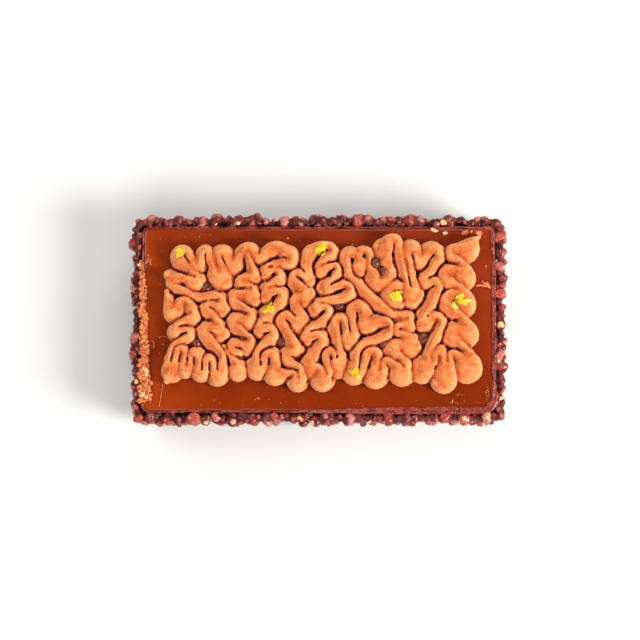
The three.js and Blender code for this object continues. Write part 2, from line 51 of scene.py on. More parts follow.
# ---- sizes in millimetres: the lengths, widths and heights are the solids' --------------------
GLAZE_LENGTH = 200
GLAZE_WIDTH = 104
GLAZE_CORNER = 2.6
FOOT_LENGTH = 212
FOOT_WIDTH = 116
GLAZE_TOP = 43
CREAM_BASE = 43.3
CREAM_HEIGHT = 11.8
WALL_TOP = 41
RIDGE_HALF = 1
LEG_BELLY = 3
LEG_LEAN = (0.17, -0.9)
BLOCK_CORNER = 7
LEAF_CEILING = 55.42
CREAM_VOXEL = 0.52
COAT_VOXEL = 0.6
# The step along the route, the most that a side swells, the slit kept between stretches, the
# cell of the grid that finds hollows, and the number that stands for no slit.
STEP = 0.5
SWELL = 2.6
SLIT = 0.5
CELL = 0.8
NO_SLIT = 999.0

MOST_TRIANGLES = 192000
EVEN_SPREAD = 0.618

# ---- the ribbon's route ---------------------------------------------------------------------
# The ribbon runs like a belt round small wheels. Each wheel is
# [x, y, turn, wheel radius, belly radius, belly offset x, belly offset y], where turn is
# 1 for clockwise seen from above, -1 for the other way and 0 for a plain point.
left_column = [
    [-86.4, 16.2, 0, 0, 2, 0, -0.6], [-82.9, 7.1, -1, 2, 4.7, 0.5, -4],
    [-76.1, 8.3, 1, 2.8, 3.1, 0, -0.6], [-73.2, 3.7, 1, 2.3, 3.7, 0, -2.3],
    [-78.9, -4.8, -1, 1.7, 4.6, -2, -3.4], [-75, -8.3, 1, 2, 3.4, -0.3, -1.1],
    [-77.8, -19.1, -1, 6.3, 2.4],
]
bottom_left = [
    [-83.8, -24.2, -1, 1.7, 4.8, 0.2, -6.6], [-78.1, -19.4, 1, 2.3, 3.3, 0, 0],
    [-74.7, -26.5, -1, 1.7, 4.6, -1.4, -2], [-70.7, -22.5, 1, 2, 3.6, 0.3, 1.1],
    [-66.1, -29.4, -1, 1.7, 4.8, -1.1, -1.1], [-61.8, -25.4, 1, 1.7, 3.4, -0.6, 0.9],
    [-57.3, -29.1, -1, 1.7, 5.9, -0.6, -2.6], [-60.1, -21.9, -1, 5.7, 3],
]
second_column = [
    [-61.8, -7.7, 1, 2.8, 4, -0.6, 0], [-57, -3.4, -1, 1.3, 5.7, -1.1, -5.1],
    [-61.8, 6.3, 1, 1.7, 4.3, -0.6, -1.1], [-57.3, 10.5, -1, 2.6, 5.1, -0.9, -4],
    [-65.8, 12.5, 0, 0, 3], [-72.7, 13.7, 0, 0, 3],
]
top_left = [
    [-82.4, 21.7, 1, 2.3, 3.4, 0, -1.7], [-70.4, 23.7, -1, 1.4, 4.8, -0.3, -3.1],
    [-76.7, 36.2, 1, 2.8, 4.2, -1.2, -0.3], [-69.8, 32.2, -1, 2, 4.8, -0.6, -0.9],
    [-64.4, 36.5, 1, 1.7, 4, -0.6, 0.9], [-56.7, 26.5, -1, 1.7, 5.1, 1.7, -3.1],
    [-55, 35.1, 1, 2, 4.8, -0.6, 1.1], [-49.3, 32.8, -1, 1.4, 5, 0, -2.8],
    [-40.2, 37.3, 1, 2.8, 5.1, 0.3, -0.6], [-33.9, 37.3, -1, 1.7, 3.4, 0, -2.3],
]
top_middle = [
    [-24.2, 34.5, 1, 6.8, 3.7, 0, 0], [-18.2, 34.2, 1, 3.1, 3.7, 0.6, 0],
    [-28.2, 29.1, -1, 1.4, 4, -0.3, -2.3], [-24.8, 25.6, 1, 2.8, 3.8, 0.5, -1.7],
    [-28.5, 17.4, -1, 1.4, 4.3, 0.3, -3.4], [-23.7, 13.1, 1, 2.8, 3.9, 0.7, -1.7],
    [-31.3, -2.8, -1, 1.7, 4.6, -0.3, -3.1],
]
middle_column = [
    [-28.2, -8.3, 1, 2.3, 3.4, 0.3, -1.1], [-28.2, -20.8, -1, 7.1, 3],
    [-32.8, -26.5, -1, 1.7, 5.5, -2.3, -2.3], [-28.2, -22.8, 1, 2.8, 3.7, 0.6, 0],
    [-23.4, -29.6, -1, 1.7, 5.6, -1.7, -2], [-15.7, -33.9, 1, 3.4, 3],
    [-11.7, -33.9, -1, 1.1, 6, -0.6, -1.7], [-12.3, -29.4, -1, 2.3, 3],
]
middle_up = [
    [-15.1, -21.9, 1, 3.4, 2.8, 0.3, -1.1], [-15.1, -15.7, -1, 2, 4.8, 0.6, -4],
    [-18.5, -0.9, 1, 2.6, 3.1, 0, -0.9], [-13.4, 1.4, -1, 1.7, 4.8, 1.7, -4.6],
    [-11.1, 10, 1, 2.8, 2.8, 0, -1.1], [-8.8, 16, -1, 1.1, 4.8, 0.6, -4.6],
    [-12.3, 23.7, 1, 2.3, 3, 0.3, -0.9], [-8, 26.5, -1, 1.4, 4.6, 0, -4],
]
centre_column = [
    [3.1, 32.2, 1, 10.3, 3, 0, -0.6], [4.8, 39, 1, 3.4, 3], [1.7, 30.2, -1, 1.4, 3.7, 0.9, -3.4],
    [8.8, 28.2, 1, 2.3, 3, -0.3, -0.9], [7.1, 19.1, -1, 1.4, 4, -2, -1.4],
    [15.1, 16.8, 1, 3.4, 3.3, -0.3, -1.4], [1.1, 8.5, -1, 1.7, 4.3, -1.1, -3.7],
    [3.1, 4.3, 1, 2.8, 3.1, 0, -1.1], [-4.3, -7.4, -1, 1.7, 4.3, -0.9, -2.8],
    [-0.9, -12.3, 1, 2.8, 3.6, 0.4, -0.9],
]
centre_foot = [
    [-0.9, -21.9, -1, 3.4, 4.8, -2.8, -6.8], [1.4, -28.8, 0, 0, 3],
    [4.8, -31.6, -1, 1.4, 6.3, -2.8, -3.1], [7.1, -21.9, 1, 2.8, 3, -0.3, 0.9],
    [10.5, -22.5, -1, 1.4, 5, 0.6, -6.3],
]
rising_loop = [
    [12.3, -2.6, 1, 2.8, 3.6, 0, 0], [18, -8, -1, 1.7, 5.1, -0.9, -3.7],
    [21.9, 3.1, 1, 3.4, 3.7, 0.3, 0.3], [27.6, -0.3, -1, 1.7, 4.6, -0.6, -2.8],
    [36.8, -5.4, 1, 4.6, 3.1, 0, -0.3], [29.9, -21.4, -1, 8.5, 3],
]
bottom_middle = [
    [22.8, -29.1, -1, 1.7, 5.7, -2.6, -2], [30.2, -21.9, 1, 3.4, 3.4, 0.3, 0.3],
    [34.5, -29.1, -1, 1.7, 6.8, -2.3, -3.1], [39, -26.5, 1, 2.8, 3, 0, -0.3],
    [48.4, -27.4, -1, 1.4, 7.4, -0.9, -3.4],
]
inner_hook = [
    [47.6, -17.4, 1, 2.8, 4.6, -4.6, -0.6], [51.6, -10.3, -1, 1.4, 6, 0, -6.3],
    [45.9, -6, 1, 2.3, 3], [50.4, 0.3, -1, 2, 5.4, -2.3, -4.6], [44.7, 10.5, 1, 8, 3],
    [24.8, 28.8, 1, 8, 3],
]
top_right = [
    [19.7, 33.9, 1, 3.4, 3.7, -1.1, 1.1], [24.5, 32.8, -1, 1.4, 4.3, -0.9, -4.3],
    [25.9, 36.2, 1, 2.8, 3.7, -0.6, -0.6], [28.5, 29.9, 0, 0, 3],
    [36.2, 25.4, -1, 4, 4, -1.1, -3.4], [41.3, 27.1, 0, 0, 3], [37.9, 31.9, 0, 0, 3],
    [39.6, 38.5, 0, 0, 5.7, -3.4, 0.9],
    [43, 43, 1, 2.6, 3.7, -0.6, 0], [52.4, 18.2, -1, 1.7, 5.5, 0.6, -4.8],
]
right_inner = [
    [53.3, 36.2, 1, 2.6, 4.6, -0.9, 2.8], [58.4, 35.1, -1, 1.4, 4.8, -1.1, -1.7],
    [65.8, 36.2, 1, 2.8, 5.1, -1.1, 1.1], [62.7, 22.8, -1, 1.4, 4, -1.1, -1.4],
    [65.8, 18.5, 1, 2.8, 3, 0, -0.3], [61.8, 0.9, -1, 1.4, 4.3, -0.9, -4],
    [65.8, -2.6, 1, 4, 3.1, 0, 0.3], [64.4, -15.7, 0, 0, 3],
]
bottom_right = [
    [62.1, -20.8, 0, 0, 3], [64.7, -26.2, -1, 1.1, 7.1, -6, -3.7],
    [68.1, -22.5, 1, 2.6, 4, -0.3, 2],
    [73.2, -28.2, -1, 1.4, 7, -2, -7.1], [76.7, -21.9, 1, 2.3, 2.8, 0, -0.3],
    [86.4, -21.9, -1, 1.4, 8, -1.7, -6.8],
]
right_column = [
    [78.4, -7.7, 1, 2.8, 5.1, 0.6, -2.3], [84.1, -3.4, -1, 1.4, 6.8, 0, -6.3],
    [75.5, 11.7, 1, 3.4, 5.1, 1.7, -3.4], [83.5, 15.1, -1, 1.1, 7.1, -0.9, -7.7],
    [75, 25.4, 1, 3.4, 4.8, 0.6, -2.3], [84.1, 29.4, -1, 1.1, 6.7, -1.4, -6.8],
    [77.8, 37.9, 1, 2.8, 3.1, 0, -0.6], [85.4, 42.6, 0, 0, 7.2, -1.2, -4.6],
    [92.3, 47.6, 0, 0, 1.1, 0, -0.6],
]
LONG_RIBBON = [
    *left_column, *bottom_left, *second_column, *top_left, *top_middle, *middle_column,
    *middle_up, *centre_column, *centre_foot, *rising_loop, *bottom_middle, *inner_hook,
    *top_right, *right_inner, *bottom_right, *right_column,
]
SHORT_RIBBON = [
    [-40.8, 36.8, 0, 0, 3.1, 0, 0], [-38.5, 26.8, 1, 1.7, 3, 0, -1.7],
    [-43, 21.4, -1, 1.7, 3.6, 0, -1.1], [-38.5, 17.4, 1, 1.7, 3.7, -0.3, -5.4],
    [-45.3, 12.3, -1, 2.8, 3.4, 0, -2], [-40.8, 3.1, 1, 2.8, 4, -0.6, -4.6],
    [-45.9, -2, -1, 2.3, 4, 0, 0], [-40.8, -11.7, 1, 2.8, 4, -1.1, -4],
    [-47, -16.8, -1, 2.3, 3.4, 0, 0], [-44.2, -19.7, 0, 0, 2.8, 0, 0],
]
SHORT_TIP = [
    [-53.9, -15.7, 0, 0, 1.4, 0, 0], [-51, -20.2, 0, 0, 2], [-46.5, -24.8, 0, 0, 3],
    [-45.3, -28.2, 0, 0, 5.9, -0.6, -2.6],
]
SMALL_CURL = [
    [49.3, 19.1, 0, 0, 2.3, 0, -0.6], [44.5, 15.7, -1, 3.7, 5.1, -1.1, -2.3],
    [44.2, 12.3, 0, 0, 6.8, -0.9, -1.4],
]

# Points drawn out of the ribbon's left end and first bulb where the nozzle was lifted away.
LEFT_POINT = [[-81.6, 21.6, 0, 0, 4.4, 0, 0], [-86, 24.6, 0, 0, 1.2, 0, 0]]
FRONT_POINT = [[-84.3, -30, 0, 0, 4.6, 0, 0], [-86.7, -36.2, 0, 0, 1.5, 0, 0]]

# Toppings in the cream: pearls [x, y, height, radius] and gold leaf [x, y, length, turn, arms].
PEARLS = [
    [32.2, 31.4, 8.4, 3.5], [37.2, 27, 7.6, 3.7], [-64.6, 17.4, 3.6, 4], [-69.8, -14, 3.4, 3.6],
    [-45.3, -20.8, 4.6, 3.5], [12.3, 7.1, 4, 3.3], [-0.9, -21.9, 4.5, 3.3], [59.6, -11.4, 3.8, 4.2],
    [-20.7, -13.5, 4.6, 3.3], [37, -14.4, 5, 3.1], [73.2, 37.2, 4.8, 3.1],
]
GOLD_LEAF = [
    [-78.4, 37.3, 6, 0.4, 0.2], [2, 39.4, 8.6, 1, 0.45], [-28.2, 5.4, 8, 0.8, 0.7],
    [44.2, 12.8, 8, 0.5, 0.4], [80.7, 9.6, 10.5, 0.3, 0.85], [20.8, -31.1, 7.6, 2.2, 0.9],
]
# Tight turns whose legs have run together, so that no slit is left between them.
CLOSED = [
    (-82.4, 21.7), (-69.8, 32.2), (-82.9, 7.1), (-43, 21.4), (-43.7, 12.3), (-44.7, -1.2),
    (-76.1, 8.3), (-56.7, 26.5),
]


# ---- making ---------------------------------------------------------------------------------
def start_clean():
    if bpy.context.object and bpy.context.object.mode != "OBJECT":
        bpy.ops.object.mode_set(mode="OBJECT")
    bpy.ops.object.select_all(action="DESELECT")


def take(piece):
    start_clean()
    piece.select_set(True)
    bpy.context.view_layer.objects.active = piece
    return piece


def new_piece(name, points, faces):
    """A mesh object from points in millimetres."""
    mesh = bpy.data.meshes.new(name)
    mesh.from_pydata((np.asarray(points, float) * MM).tolist(), [], faces)
    mesh.update()
    piece = bpy.data.objects.new(name, mesh)
    bpy.context.scene.collection.objects.link(piece)
    return piece


def worked(piece, kind, **settings):
    """Adds one modifier and applies it."""
    take(piece)
    modifier = piece.modifiers.new(kind.title(), kind)
    for name, value in settings.items():
        setattr(modifier, name, value)
    bpy.ops.object.modifier_apply(modifier=modifier.name)
    return piece


def added(operator, **settings):
    """Adds a primitive, with its place, turn and size worked into its mesh."""
    start_clean()
    operator(**settings)
    bpy.ops.object.transform_apply(location=True, rotation=True, scale=True)
    return bpy.context.object


def on_all_faces(operator, **settings):
    """Runs one mesh operator on the whole of the active object."""
    bpy.ops.object.mode_set(mode="EDIT")
    bpy.ops.mesh.select_all(action="SELECT")
    operator(**settings)
    bpy.ops.object.mode_set(mode="OBJECT")


def lightened(piece):
    """Brings the piece down to no more than MOST_TRIANGLES triangles."""
    triangles = sum(len(f.vertices) - 2 for f in piece.data.polygons)
    worked(piece, "DECIMATE", ratio=min(1, MOST_TRIANGLES / triangles))


def points_of(piece):
    """The mesh's points, in millimetres, one row each."""
    flat = np.empty(len(piece.data.vertices) * 3)
    piece.data.vertices.foreach_get("co", flat)
    return flat.reshape(-1, 3) / MM


def place_points(piece, points):
    piece.data.vertices.foreach_set("co", (points * MM).ravel())
    piece.data.update()


def normals_of(piece):
    flat = np.empty(len(piece.data.vertices) * 3)
    piece.data.vertex_normals.foreach_get("vector", flat)
    return flat.reshape(-1, 3)


def edges_of(piece):
    flat = np.empty(len(piece.data.edges) * 2, np.int64)
    piece.data.edges.foreach_get("vertices", flat)
    return flat.reshape(-1, 2)


def evened(values, edges, rounds):
    """Each value drawn towards the mean of its neighbours, several times over."""
    count = np.bincount(edges.ravel(), minlength=len(values)).astype(float)
    count[count == 0] = 1
    out = values.copy()
    for _ in range(rounds):
        total = np.zeros_like(out)
        for axis in range(out.shape[1]):
            total[:, axis] = (
                np.bincount(edges[:, 0], out[edges[:, 1], axis], len(out))
                + np.bincount(edges[:, 1], out[edges[:, 0], axis], len(out))
            )
        out = 0.5 * out + 0.5 * total / count[:, None]
    return out


def mark_crests(piece, rounds, span):
    """Writes how far each point stands out of its surroundings, 0.5 on a plain surface, up to 1 on
    a ridge and down to 0 in a dent, for the colours to follow: the finishes paint shade into the
    dents from it, and on the cream and the leaf highlights onto the ridges."""
    points = points_of(piece)
    edges = edges_of(piece)
    away = points - evened(points, edges, rounds)
    stands = np.einsum("ij,ij->i", away, normals_of(piece))
    stands = evened(stands[:, None], edges, 3)[:, 0]
    marked(piece, "crest", np.clip(0.5 + stands / (2 * span), 0, 1))


def marked(piece, name, values):
    """Keeps a number at each point, for the finish to read by that name."""
    mark = piece.data.attributes.new(name, "FLOAT", "POINT")
    mark.data.foreach_set("value", values)


def dressed(piece, paint, slot, *nodes):
    """The piece gets its finish, rides on the whole and stands for its solids."""
    piece.data.materials.clear()
    piece.data.materials.append(paint.material)
    take(piece)
    bpy.ops.object.shade_smooth()
    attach(piece, "root")
    if nodes:
        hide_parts(*nodes)
    return piece


def ripple(x, y, z, size, seed=0):
    """A smooth seeded noise in -1..1 with features of that size, in millimetres."""
    return noise.noise(Vector((x / size + 17.3 * seed, y / size - 9.1 * seed, z / size)))


def uneven(points, *waves, start=0):
    """At each point, the start and the ripples of each (depth, size, seed) on top of it."""
    return np.array([
        sum((depth * ripple(x, y, z, size, seed) for depth, size, seed in waves), start)
        for x, y, z in points
    ])


def roughened(piece, centre, *waves):
    """Moves the points away from the centre and towards it by those waves."""
    points = points_of(piece)
    points += (points - centre) * uneven(points, *waves)[:, None]
    place_points(piece, points)
    return piece


def kept_in_body(points):
    """The points, none of them past the block's solid."""
    low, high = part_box("cake_body")
    return np.clip(points, np.array(low) / MM, np.array(high) / MM)


# ---- the cream ------------------------------------------------------------------------------
def straight(a, b):
    """The straight between two wheels touches both: where it starts and where it ends."""
    dx, dy = b[0] - a[0], b[1] - a[1]
    share = (b[2] * b[3] - a[2] * a[3]) / math.hypot(dx, dy)
    heading = math.atan2(dy, dx) + math.asin(max(-1, min(1, share)))
    side = (-math.sin(heading), math.cos(heading))
    start = (a[0] + a[2] * a[3] * side[0], a[1] + a[2] * a[3] * side[1])
    end = (b[0] + b[2] * b[3] * side[0], b[1] + b[2] * b[3] * side[1])
    return start, end


def stations(route):
    """Even steps along the route: the ridge's place, the belly's radius and its offset, and
    the slit that a tight turn leaves open between its legs, from x, y to x, y."""
    wheels = [[w[0], w[1], w[2], w[3] if w[2] else 0, w[4], *(w[5:] or LEG_LEAN)] for w in route]
    lines = [straight(a, b) for a, b in zip(wheels, wheels[1:])]
    track, owner, slits = [], [], {}
    for i, (x, y, turn, wheel, *_) in enumerate(wheels):
        spots = [(x, y)]
        if turn and 0 < i < len(wheels) - 1:
            arrive, leave = lines[i - 1][1], lines[i][0]
            first = math.atan2(arrive[1] - y, arrive[0] - x)
            last = math.atan2(leave[1] - y, leave[0] - x)
            sweep = (turn * (first - last)) % (2 * math.pi)
            if sweep > 1.9 * math.pi:
                sweep = 0
            cuts = max(2, int(sweep * wheel / 0.4) + 1)
            spots = [
                (x + wheel * math.cos(first - turn * sweep * k / cuts),
                 y + wheel * math.sin(first - turn * sweep * k / cuts))
                for k in range(cuts + 1)
            ]
            closed = min(math.dist((x, y), spot) for spot in CLOSED) < 2
            if sweep > 1.9 and wheel < 4 and x < 68 and not closed:
                open_way = first - turn * sweep / 2 + math.pi
                legs = [math.dist(*lines[i - 1]), math.dist(*lines[i])]
                deep = min(7, 0.75 * min(legs) + 0.6)
                slits[i] = (x, y, x + deep * math.cos(open_way), y + deep * math.sin(open_way))
        track += spots
        owner += [i] * len(spots)
    track, owner = np.array(track), np.array(owner)
    far = np.concatenate([[0], np.cumsum(np.hypot(*np.diff(track, axis=0).T))])
    along = np.arange(0, far[-1] + STEP / 2, STEP)
    weight = np.full(len(along), 0.02)
    belly = np.outer(weight, (LEG_BELLY, *LEG_LEAN))
    for i, wheel in enumerate(wheels):
        mine = far[owner == i]
        middle, half = (mine[0] + mine[-1]) / 2, (mine[-1] - mine[0]) / 2
        near = np.exp(-((along - middle) / (0.5 * half + 1.5)) ** 2)
        weight += near
        belly += near[:, None] * np.array([wheel[4], wheel[5], wheel[6]])
    belly /= weight[:, None]
    opened = np.full((len(along), 8), NO_SLIT)
    for i, slit in slits.items():
        mine = far[owner == i]
        near = (along > mine[0] - 7) & (along < mine[-1] + 7)
        first = opened[:, 0] == NO_SLIT
        opened[near & first, :4] = slit
        opened[near & ~first, 4:] = slit
    path = np.stack([np.interp(along, far, track[:, k]) for k in (0, 1)], axis=1)
    return np.hstack([evened_along(np.column_stack([path, belly]), 5), opened])


def stacked(rows_by_route):
    """All stations in one table, with the number of each one's route and its way along it."""
    owners = np.concatenate([[n] * len(rows) for n, rows in enumerate(rows_by_route)])
    along = np.concatenate([np.arange(len(rows)) * STEP for rows in rows_by_route])
    return np.vstack(rows_by_route), owners, along


def swelled(rows_by_route):
    """A packed ribbon swells sideways until it meets its neighbours: on each side every
    station takes half of the gap to the next stretch of ribbon, up to a limit."""
    rows, owners, distances = stacked(rows_by_route)
    centre = rows[:, :2] + rows[:, 3:5]
    grown, first = [], 0
    for number, mine in enumerate(rows_by_route):
        ways = np.gradient(mine[:, :2], axis=0)
        ways /= np.maximum(np.linalg.norm(ways, axis=1), 1e-6)[:, None]
        extra = np.zeros((len(mine), 2))
        for i in range(len(mine)):
            here = first + i
            away = centre - centre[here]
            apart = np.linalg.norm(away, axis=1)
            same = (owners == number) & (abs(distances - distances[here]) < apart + 6)
            gap = apart - rows[:, 2] - mine[i, 2]
            side = np.array([-ways[i, 1], ways[i, 0]])
            across = away @ side
            for k, sign in enumerate((1, -1)):
                near = (~same) & (apart < 17) & (across * sign > 0.72 * apart)
                if near.any():
                    other = np.flatnonzero(near)[gap[near].argmin()]
                    slim = max(rows[other, 2], mine[i, 2]) < 4.4
                    if gap[other] < 8:
                        share = 0.5 * (gap[other] - SLIT)
                        extra[i, k] = min(SWELL, max(-0.8 if slim else 0, share))
        extra = evened_along(extra, 15)
        out = mine.copy()
        out[:, 2] += (extra[:, 0] + extra[:, 1]) / 2
        shift = (extra[:, 0] - extra[:, 1]) / 2
        out[:, 3] += -ways[:, 1] * shift
        out[:, 4] += ways[:, 0] * shift
        grown.append(out)
        first += len(mine)
    return grown


def evened_along(values, reach):
    window = np.hanning(reach + 2)[1:-1]
    window /= window.sum()
    half = reach // 2
    padded = np.vstack([values[:1]] * half + [values] + [values[-1:]] * half)
    return np.column_stack([np.convolve(padded[:, k], window, "valid")
                            for k in range(values.shape[1])])


LEVELS = np.array([0, 0.1, 0.25, 0.42, 0.58, 0.7, 0.8, 0.88, 0.94, 0.98, 1.0])


def mound_shape(radius, lobe):
    """Half width at each level and the share of the belly's offset there. A leg narrows
    evenly to a round ridge, and a lobe is a full dome under its ridge."""
    leg = radius * (1 - LEVELS ** 2.7) ** 0.52
    dome = RIDGE_HALF + (radius - RIDGE_HALF) * (1 - LEVELS ** 2.3) ** 0.62
    dome *= np.sqrt(np.clip(1 - (np.clip(LEVELS - 0.9, 0, 1) / 0.105) ** 2, 0.02, 1))
    width = np.maximum(leg + lobe * (dome - leg), 0.25)
    width *= 1 - 0.14 * np.clip(1 - LEVELS / 0.25, 0, 1) ** 1.5
    lean = (1 - LEVELS ** 2.2) ** 0.6
    return width, lean


def kept_open(x, y, half, slits, level):
    """Draws a mound's level back from the slits beside it, its outer edge left in place."""
    if level < 0.38:
        return x, y, half
    open_half = 0.25 if level < 0.6 else 0.6
    for ax, ay, bx, by in slits:
        share = ((x - ax) * (bx - ax) + (y - ay) * (by - ay)) / ((bx - ax) ** 2 + (by - ay) ** 2)
        share = min(1, max(0, share))
        qx, qy = ax + share * (bx - ax), ay + share * (by - ay)
        away = math.hypot(x - qx, y - qy)
        if away > 0.3 and away - half < open_half:
            kept = max(0.7, (away + half - open_half) / 2)
            out = (kept + open_half) / away
            x, y, half = qx + (x - qx) * out, qy + (y - qy) * out, kept
    return x, y, half


def spread_over(cells):
    """The grid cells that are marked, and the four beside each."""
    wider = cells.copy()
    wider[1:] |= cells[:-1]
    wider[:-1] |= cells[1:]
    wider[:, 1:] |= cells[:, :-1]
    wider[:, :-1] |= cells[:, 1:]
    return wider


def bulges(rows_by_route):
    """Where a hollow is left between stretches, the nearest one's belly bulges into it:
    rows of [x, y, radius, height share]. The pearls keep their hollows."""
    rows, owners, along = stacked(rows_by_route)
    centre = rows[:, :2] + 0.8 * rows[:, 3:5]
    xs, ys = np.arange(-96, 100, CELL), np.arange(-50, 54, CELL)
    over = np.empty((len(xs), len(ys)))
    nearest = np.empty((len(xs), len(ys)), int)
    margin = np.empty((len(xs), len(ys)))
    for i, x in enumerate(xs):
        away = np.hypot(x - centre[:, 0][:, None], ys[None, :] - centre[:, 1][:, None])
        clear = away - rows[:, 2][:, None]
        first = clear.argmin(axis=0)
        nearest[i] = first
        over[i] = clear[first, np.arange(len(ys))]
        far = (owners[:, None] != owners[first][None, :]) | (
            abs(along[:, None] - along[first][None, :]) > 12)
        margin[i] = np.where(far, clear, 99).min(axis=0) - over[i]
    outside = np.zeros_like(over, bool)
    outside[0], outside[-1], outside[:, 0], outside[:, -1] = True, True, True, True
    passable = over > 1.7
    for _ in range(400):
        wider = (spread_over(outside) & passable) | outside
        if (wider == outside).all():
            break
        outside = wider
    for _ in range(3):
        outside = spread_over(outside)
    found = []
    for i, j in zip(*np.nonzero((over > 0.15) & (over < 4.5) & ~outside & (margin > 0.5))):
        x, y = xs[i], ys[j]
        if any(math.hypot(x - px, y - py) < radius + 0.4 for px, py, _, radius in PEARLS):
            continue
        row = rows[nearest[i, j]]
        cx, cy = centre[nearest[i, j]]
        reach = math.hypot(x - cx, y - cy)
        size = min(3, 0.6 * row[2] + 0.6)
        back = max(0, reach - size) / reach
        found.append((cx + (x - cx) * back, cy + (y - cy) * back, size,
                      0.78 - 0.05 * over[i, j]))
    return found


def piped_ribbon():
    """Mounds stacked close along the routes, melted into one ribbon and made a little uneven."""
    sides = 14
    points, faces = [], []
    ring = np.arange(sides) * 2 * math.pi / sides
    routes = (LONG_RIBBON, SHORT_RIBBON, SHORT_TIP, SMALL_CURL, LEFT_POINT, FRONT_POINT)
    routes = swelled([stations(route) for route in routes])
    mounds = []
    for x, y, radius, dx, dy, *opened in np.vstack(routes):
        lobe = min(1, max(0, (radius - 3.2) / 1.6))
        tall = CREAM_HEIGHT * (0.955 + 0.035 * ripple(x, y, 0, 9, 1))
        if radius < 2.4:
            tall *= 0.72 + 0.28 * max(0, radius - 0.6) / 1.8
        slits = [opened[k:k + 4] for k in (0, 4) if opened[k] != NO_SLIT]
        mounds.append((x, y, radius, dx, dy, lobe, tall, slits))
    for x, y, radius, share in bulges(routes):
        mounds.append((x, y, radius, 0, 0, 1, CREAM_HEIGHT * share, []))
    for number, (x, y, radius, dx, dy, lobe, tall, slits) in enumerate(mounds, 1):
        width, lean = mound_shape(radius, lobe)
        phase = ring + 0.37 * number
        base = len(points)
        for share, half, shift in zip(LEVELS, width, lean):
            z = CREAM_BASE + share * tall
            cx, cy, kept = kept_open(x + dx * shift, y + dy * shift, half, slits, share)
            for angle in phase:
                points.append((cx + kept * math.cos(angle), cy + kept * math.sin(angle), z))
        for k in range(len(LEVELS) - 1):
            for i in range(sides):
                a, b = base + k * sides + i, base + k * sides + (i + 1) % sides
                faces.append((a, b, b + sides, a + sides))
        faces.append(tuple(range(base + sides - 1, base - 1, -1)))
        faces.append(tuple(range(len(points) - sides, len(points))))
    piece = new_piece("piped_ribbon", points, faces)
    worked(piece, "REMESH", mode="VOXEL", voxel_size=CREAM_VOXEL * MM, adaptivity=0)
    worked(piece, "SMOOTH", factor=0.5, iterations=3)
    points = points_of(piece)
    push = uneven(points, (0.22, 7, 2), (0.1, 2.4, 3), (0.05, 1.1, 4))
    push *= np.clip((points[:, 2] - CREAM_BASE) / 1.5, 0, 1)
    points += normals_of(piece) * push[:, None]
    points[:, 2] = np.clip(points[:, 2], CREAM_BASE - 0.25, CREAM_BASE + CREAM_HEIGHT)
    place_points(piece, points)
    lightened(piece)
    mark_crests(piece, 14, 0.5)
    return piece


def pearls():
    """Crisp chocolate pearls, a little uneven, sunk in the gaps between the piping."""
    random.seed(31)
    whole = []
    for x, y, height, radius in PEARLS:
        centre = np.array([x, y, CREAM_BASE + height])
        ball = added(bpy.ops.mesh.primitive_ico_sphere_add, subdivisions=4, radius=radius * MM,
                     location=tuple(centre * MM))
        seed = random.randint(5, 900)
        whole.append(roughened(ball, centre, (0.045, 2.4, seed), (0.012, 0.9, seed)))
    return together(whole, "pearls")


def together(parts, name):
    """Several objects joined into one."""
    start_clean()
    for part in parts:
        part.select_set(True)
    bpy.context.view_layer.objects.active = parts[0]
    bpy.ops.object.join()
    piece = bpy.context.object
    piece.name = piece.data.name = name
    return piece


def lying(piece):
    """A tree of the piece's faces, to find what lies under a point."""
    piece.data.calc_loop_triangles()
    corners = [v.co.copy() for v in piece.data.vertices]
    return BVHTree.FromPolygons(corners, [t.vertices[:] for t in piece.data.loop_triangles])


def height_under(tree, x, y, default):
    hit = tree.ray_cast(Vector((x * MM, y * MM, 0.2)), Vector((0, 0, -1)))[0]
    return hit.z / MM if hit else default


def gold_leaf(cream_tree):
    """Torn flakes of leaf, crumpled, lying on the cream: rings inside a torn outline."""
    random.seed(47)
    flakes = []
    rings, spokes = 9, 60
    for x, y, length, turn, arms in GOLD_LEAF:
        seed = random.randint(5, 900)
        points, faces = [], []
        for k in range(rings + 1):
            for i in range(spokes):
                angle = 2 * math.pi * i / spokes
                arm = 0.14 + 0.42 * abs(math.cos(1.5 * angle + seed)) ** 1.5
                edge = 0.5 * (1 - arms) + arms * arm
                edge += 0.26 * ripple(math.cos(angle), math.sin(angle), 0, 0.42, seed)
                edge += 0.12 * ripple(math.cos(angle), math.sin(angle), 3, 0.12, seed)
                reach = max(0.1, edge) * length * (k / rings)
                gu, gv = reach * math.cos(angle), 0.72 * reach * math.sin(angle)
                px = x + gu * math.cos(turn) - gv * math.sin(turn)
                py = y + gu * math.sin(turn) + gv * math.cos(turn)
                under = max(
                    height_under(cream_tree, px + wide * ex, py + wide * ey, CREAM_BASE)
                    for wide in (0.5, 1.4)
                    for ex, ey in ((0, 0), (1, 0), (-1, 0), (0, 1), (0, -1))
                )
                crumple = 0.28 * abs(ripple(px, py, 0, 1.2, seed))
                crumple += 0.1 * ripple(px, py, 0, 0.6, seed)
                points.append((px, py, min(LEAF_CEILING, under + 0.02 + crumple)))
        for first in range(0, rings * spokes, spokes):
            for i in range(spokes):
                a, b = first + i, first + (i + 1) % spokes
                faces.append((a, a + spokes, b + spokes, b))
        flake = new_piece("flake", points, faces)
        take(flake)
        on_all_faces(bpy.ops.mesh.remove_doubles, threshold=0.00001)
        worked(flake, "SOLIDIFY", thickness=0.1 * MM, offset=0)
        flakes.append(flake)
    piece = together(flakes, "gold_leaf")
    mark_crests(piece, 5, 0.12)
    return piece


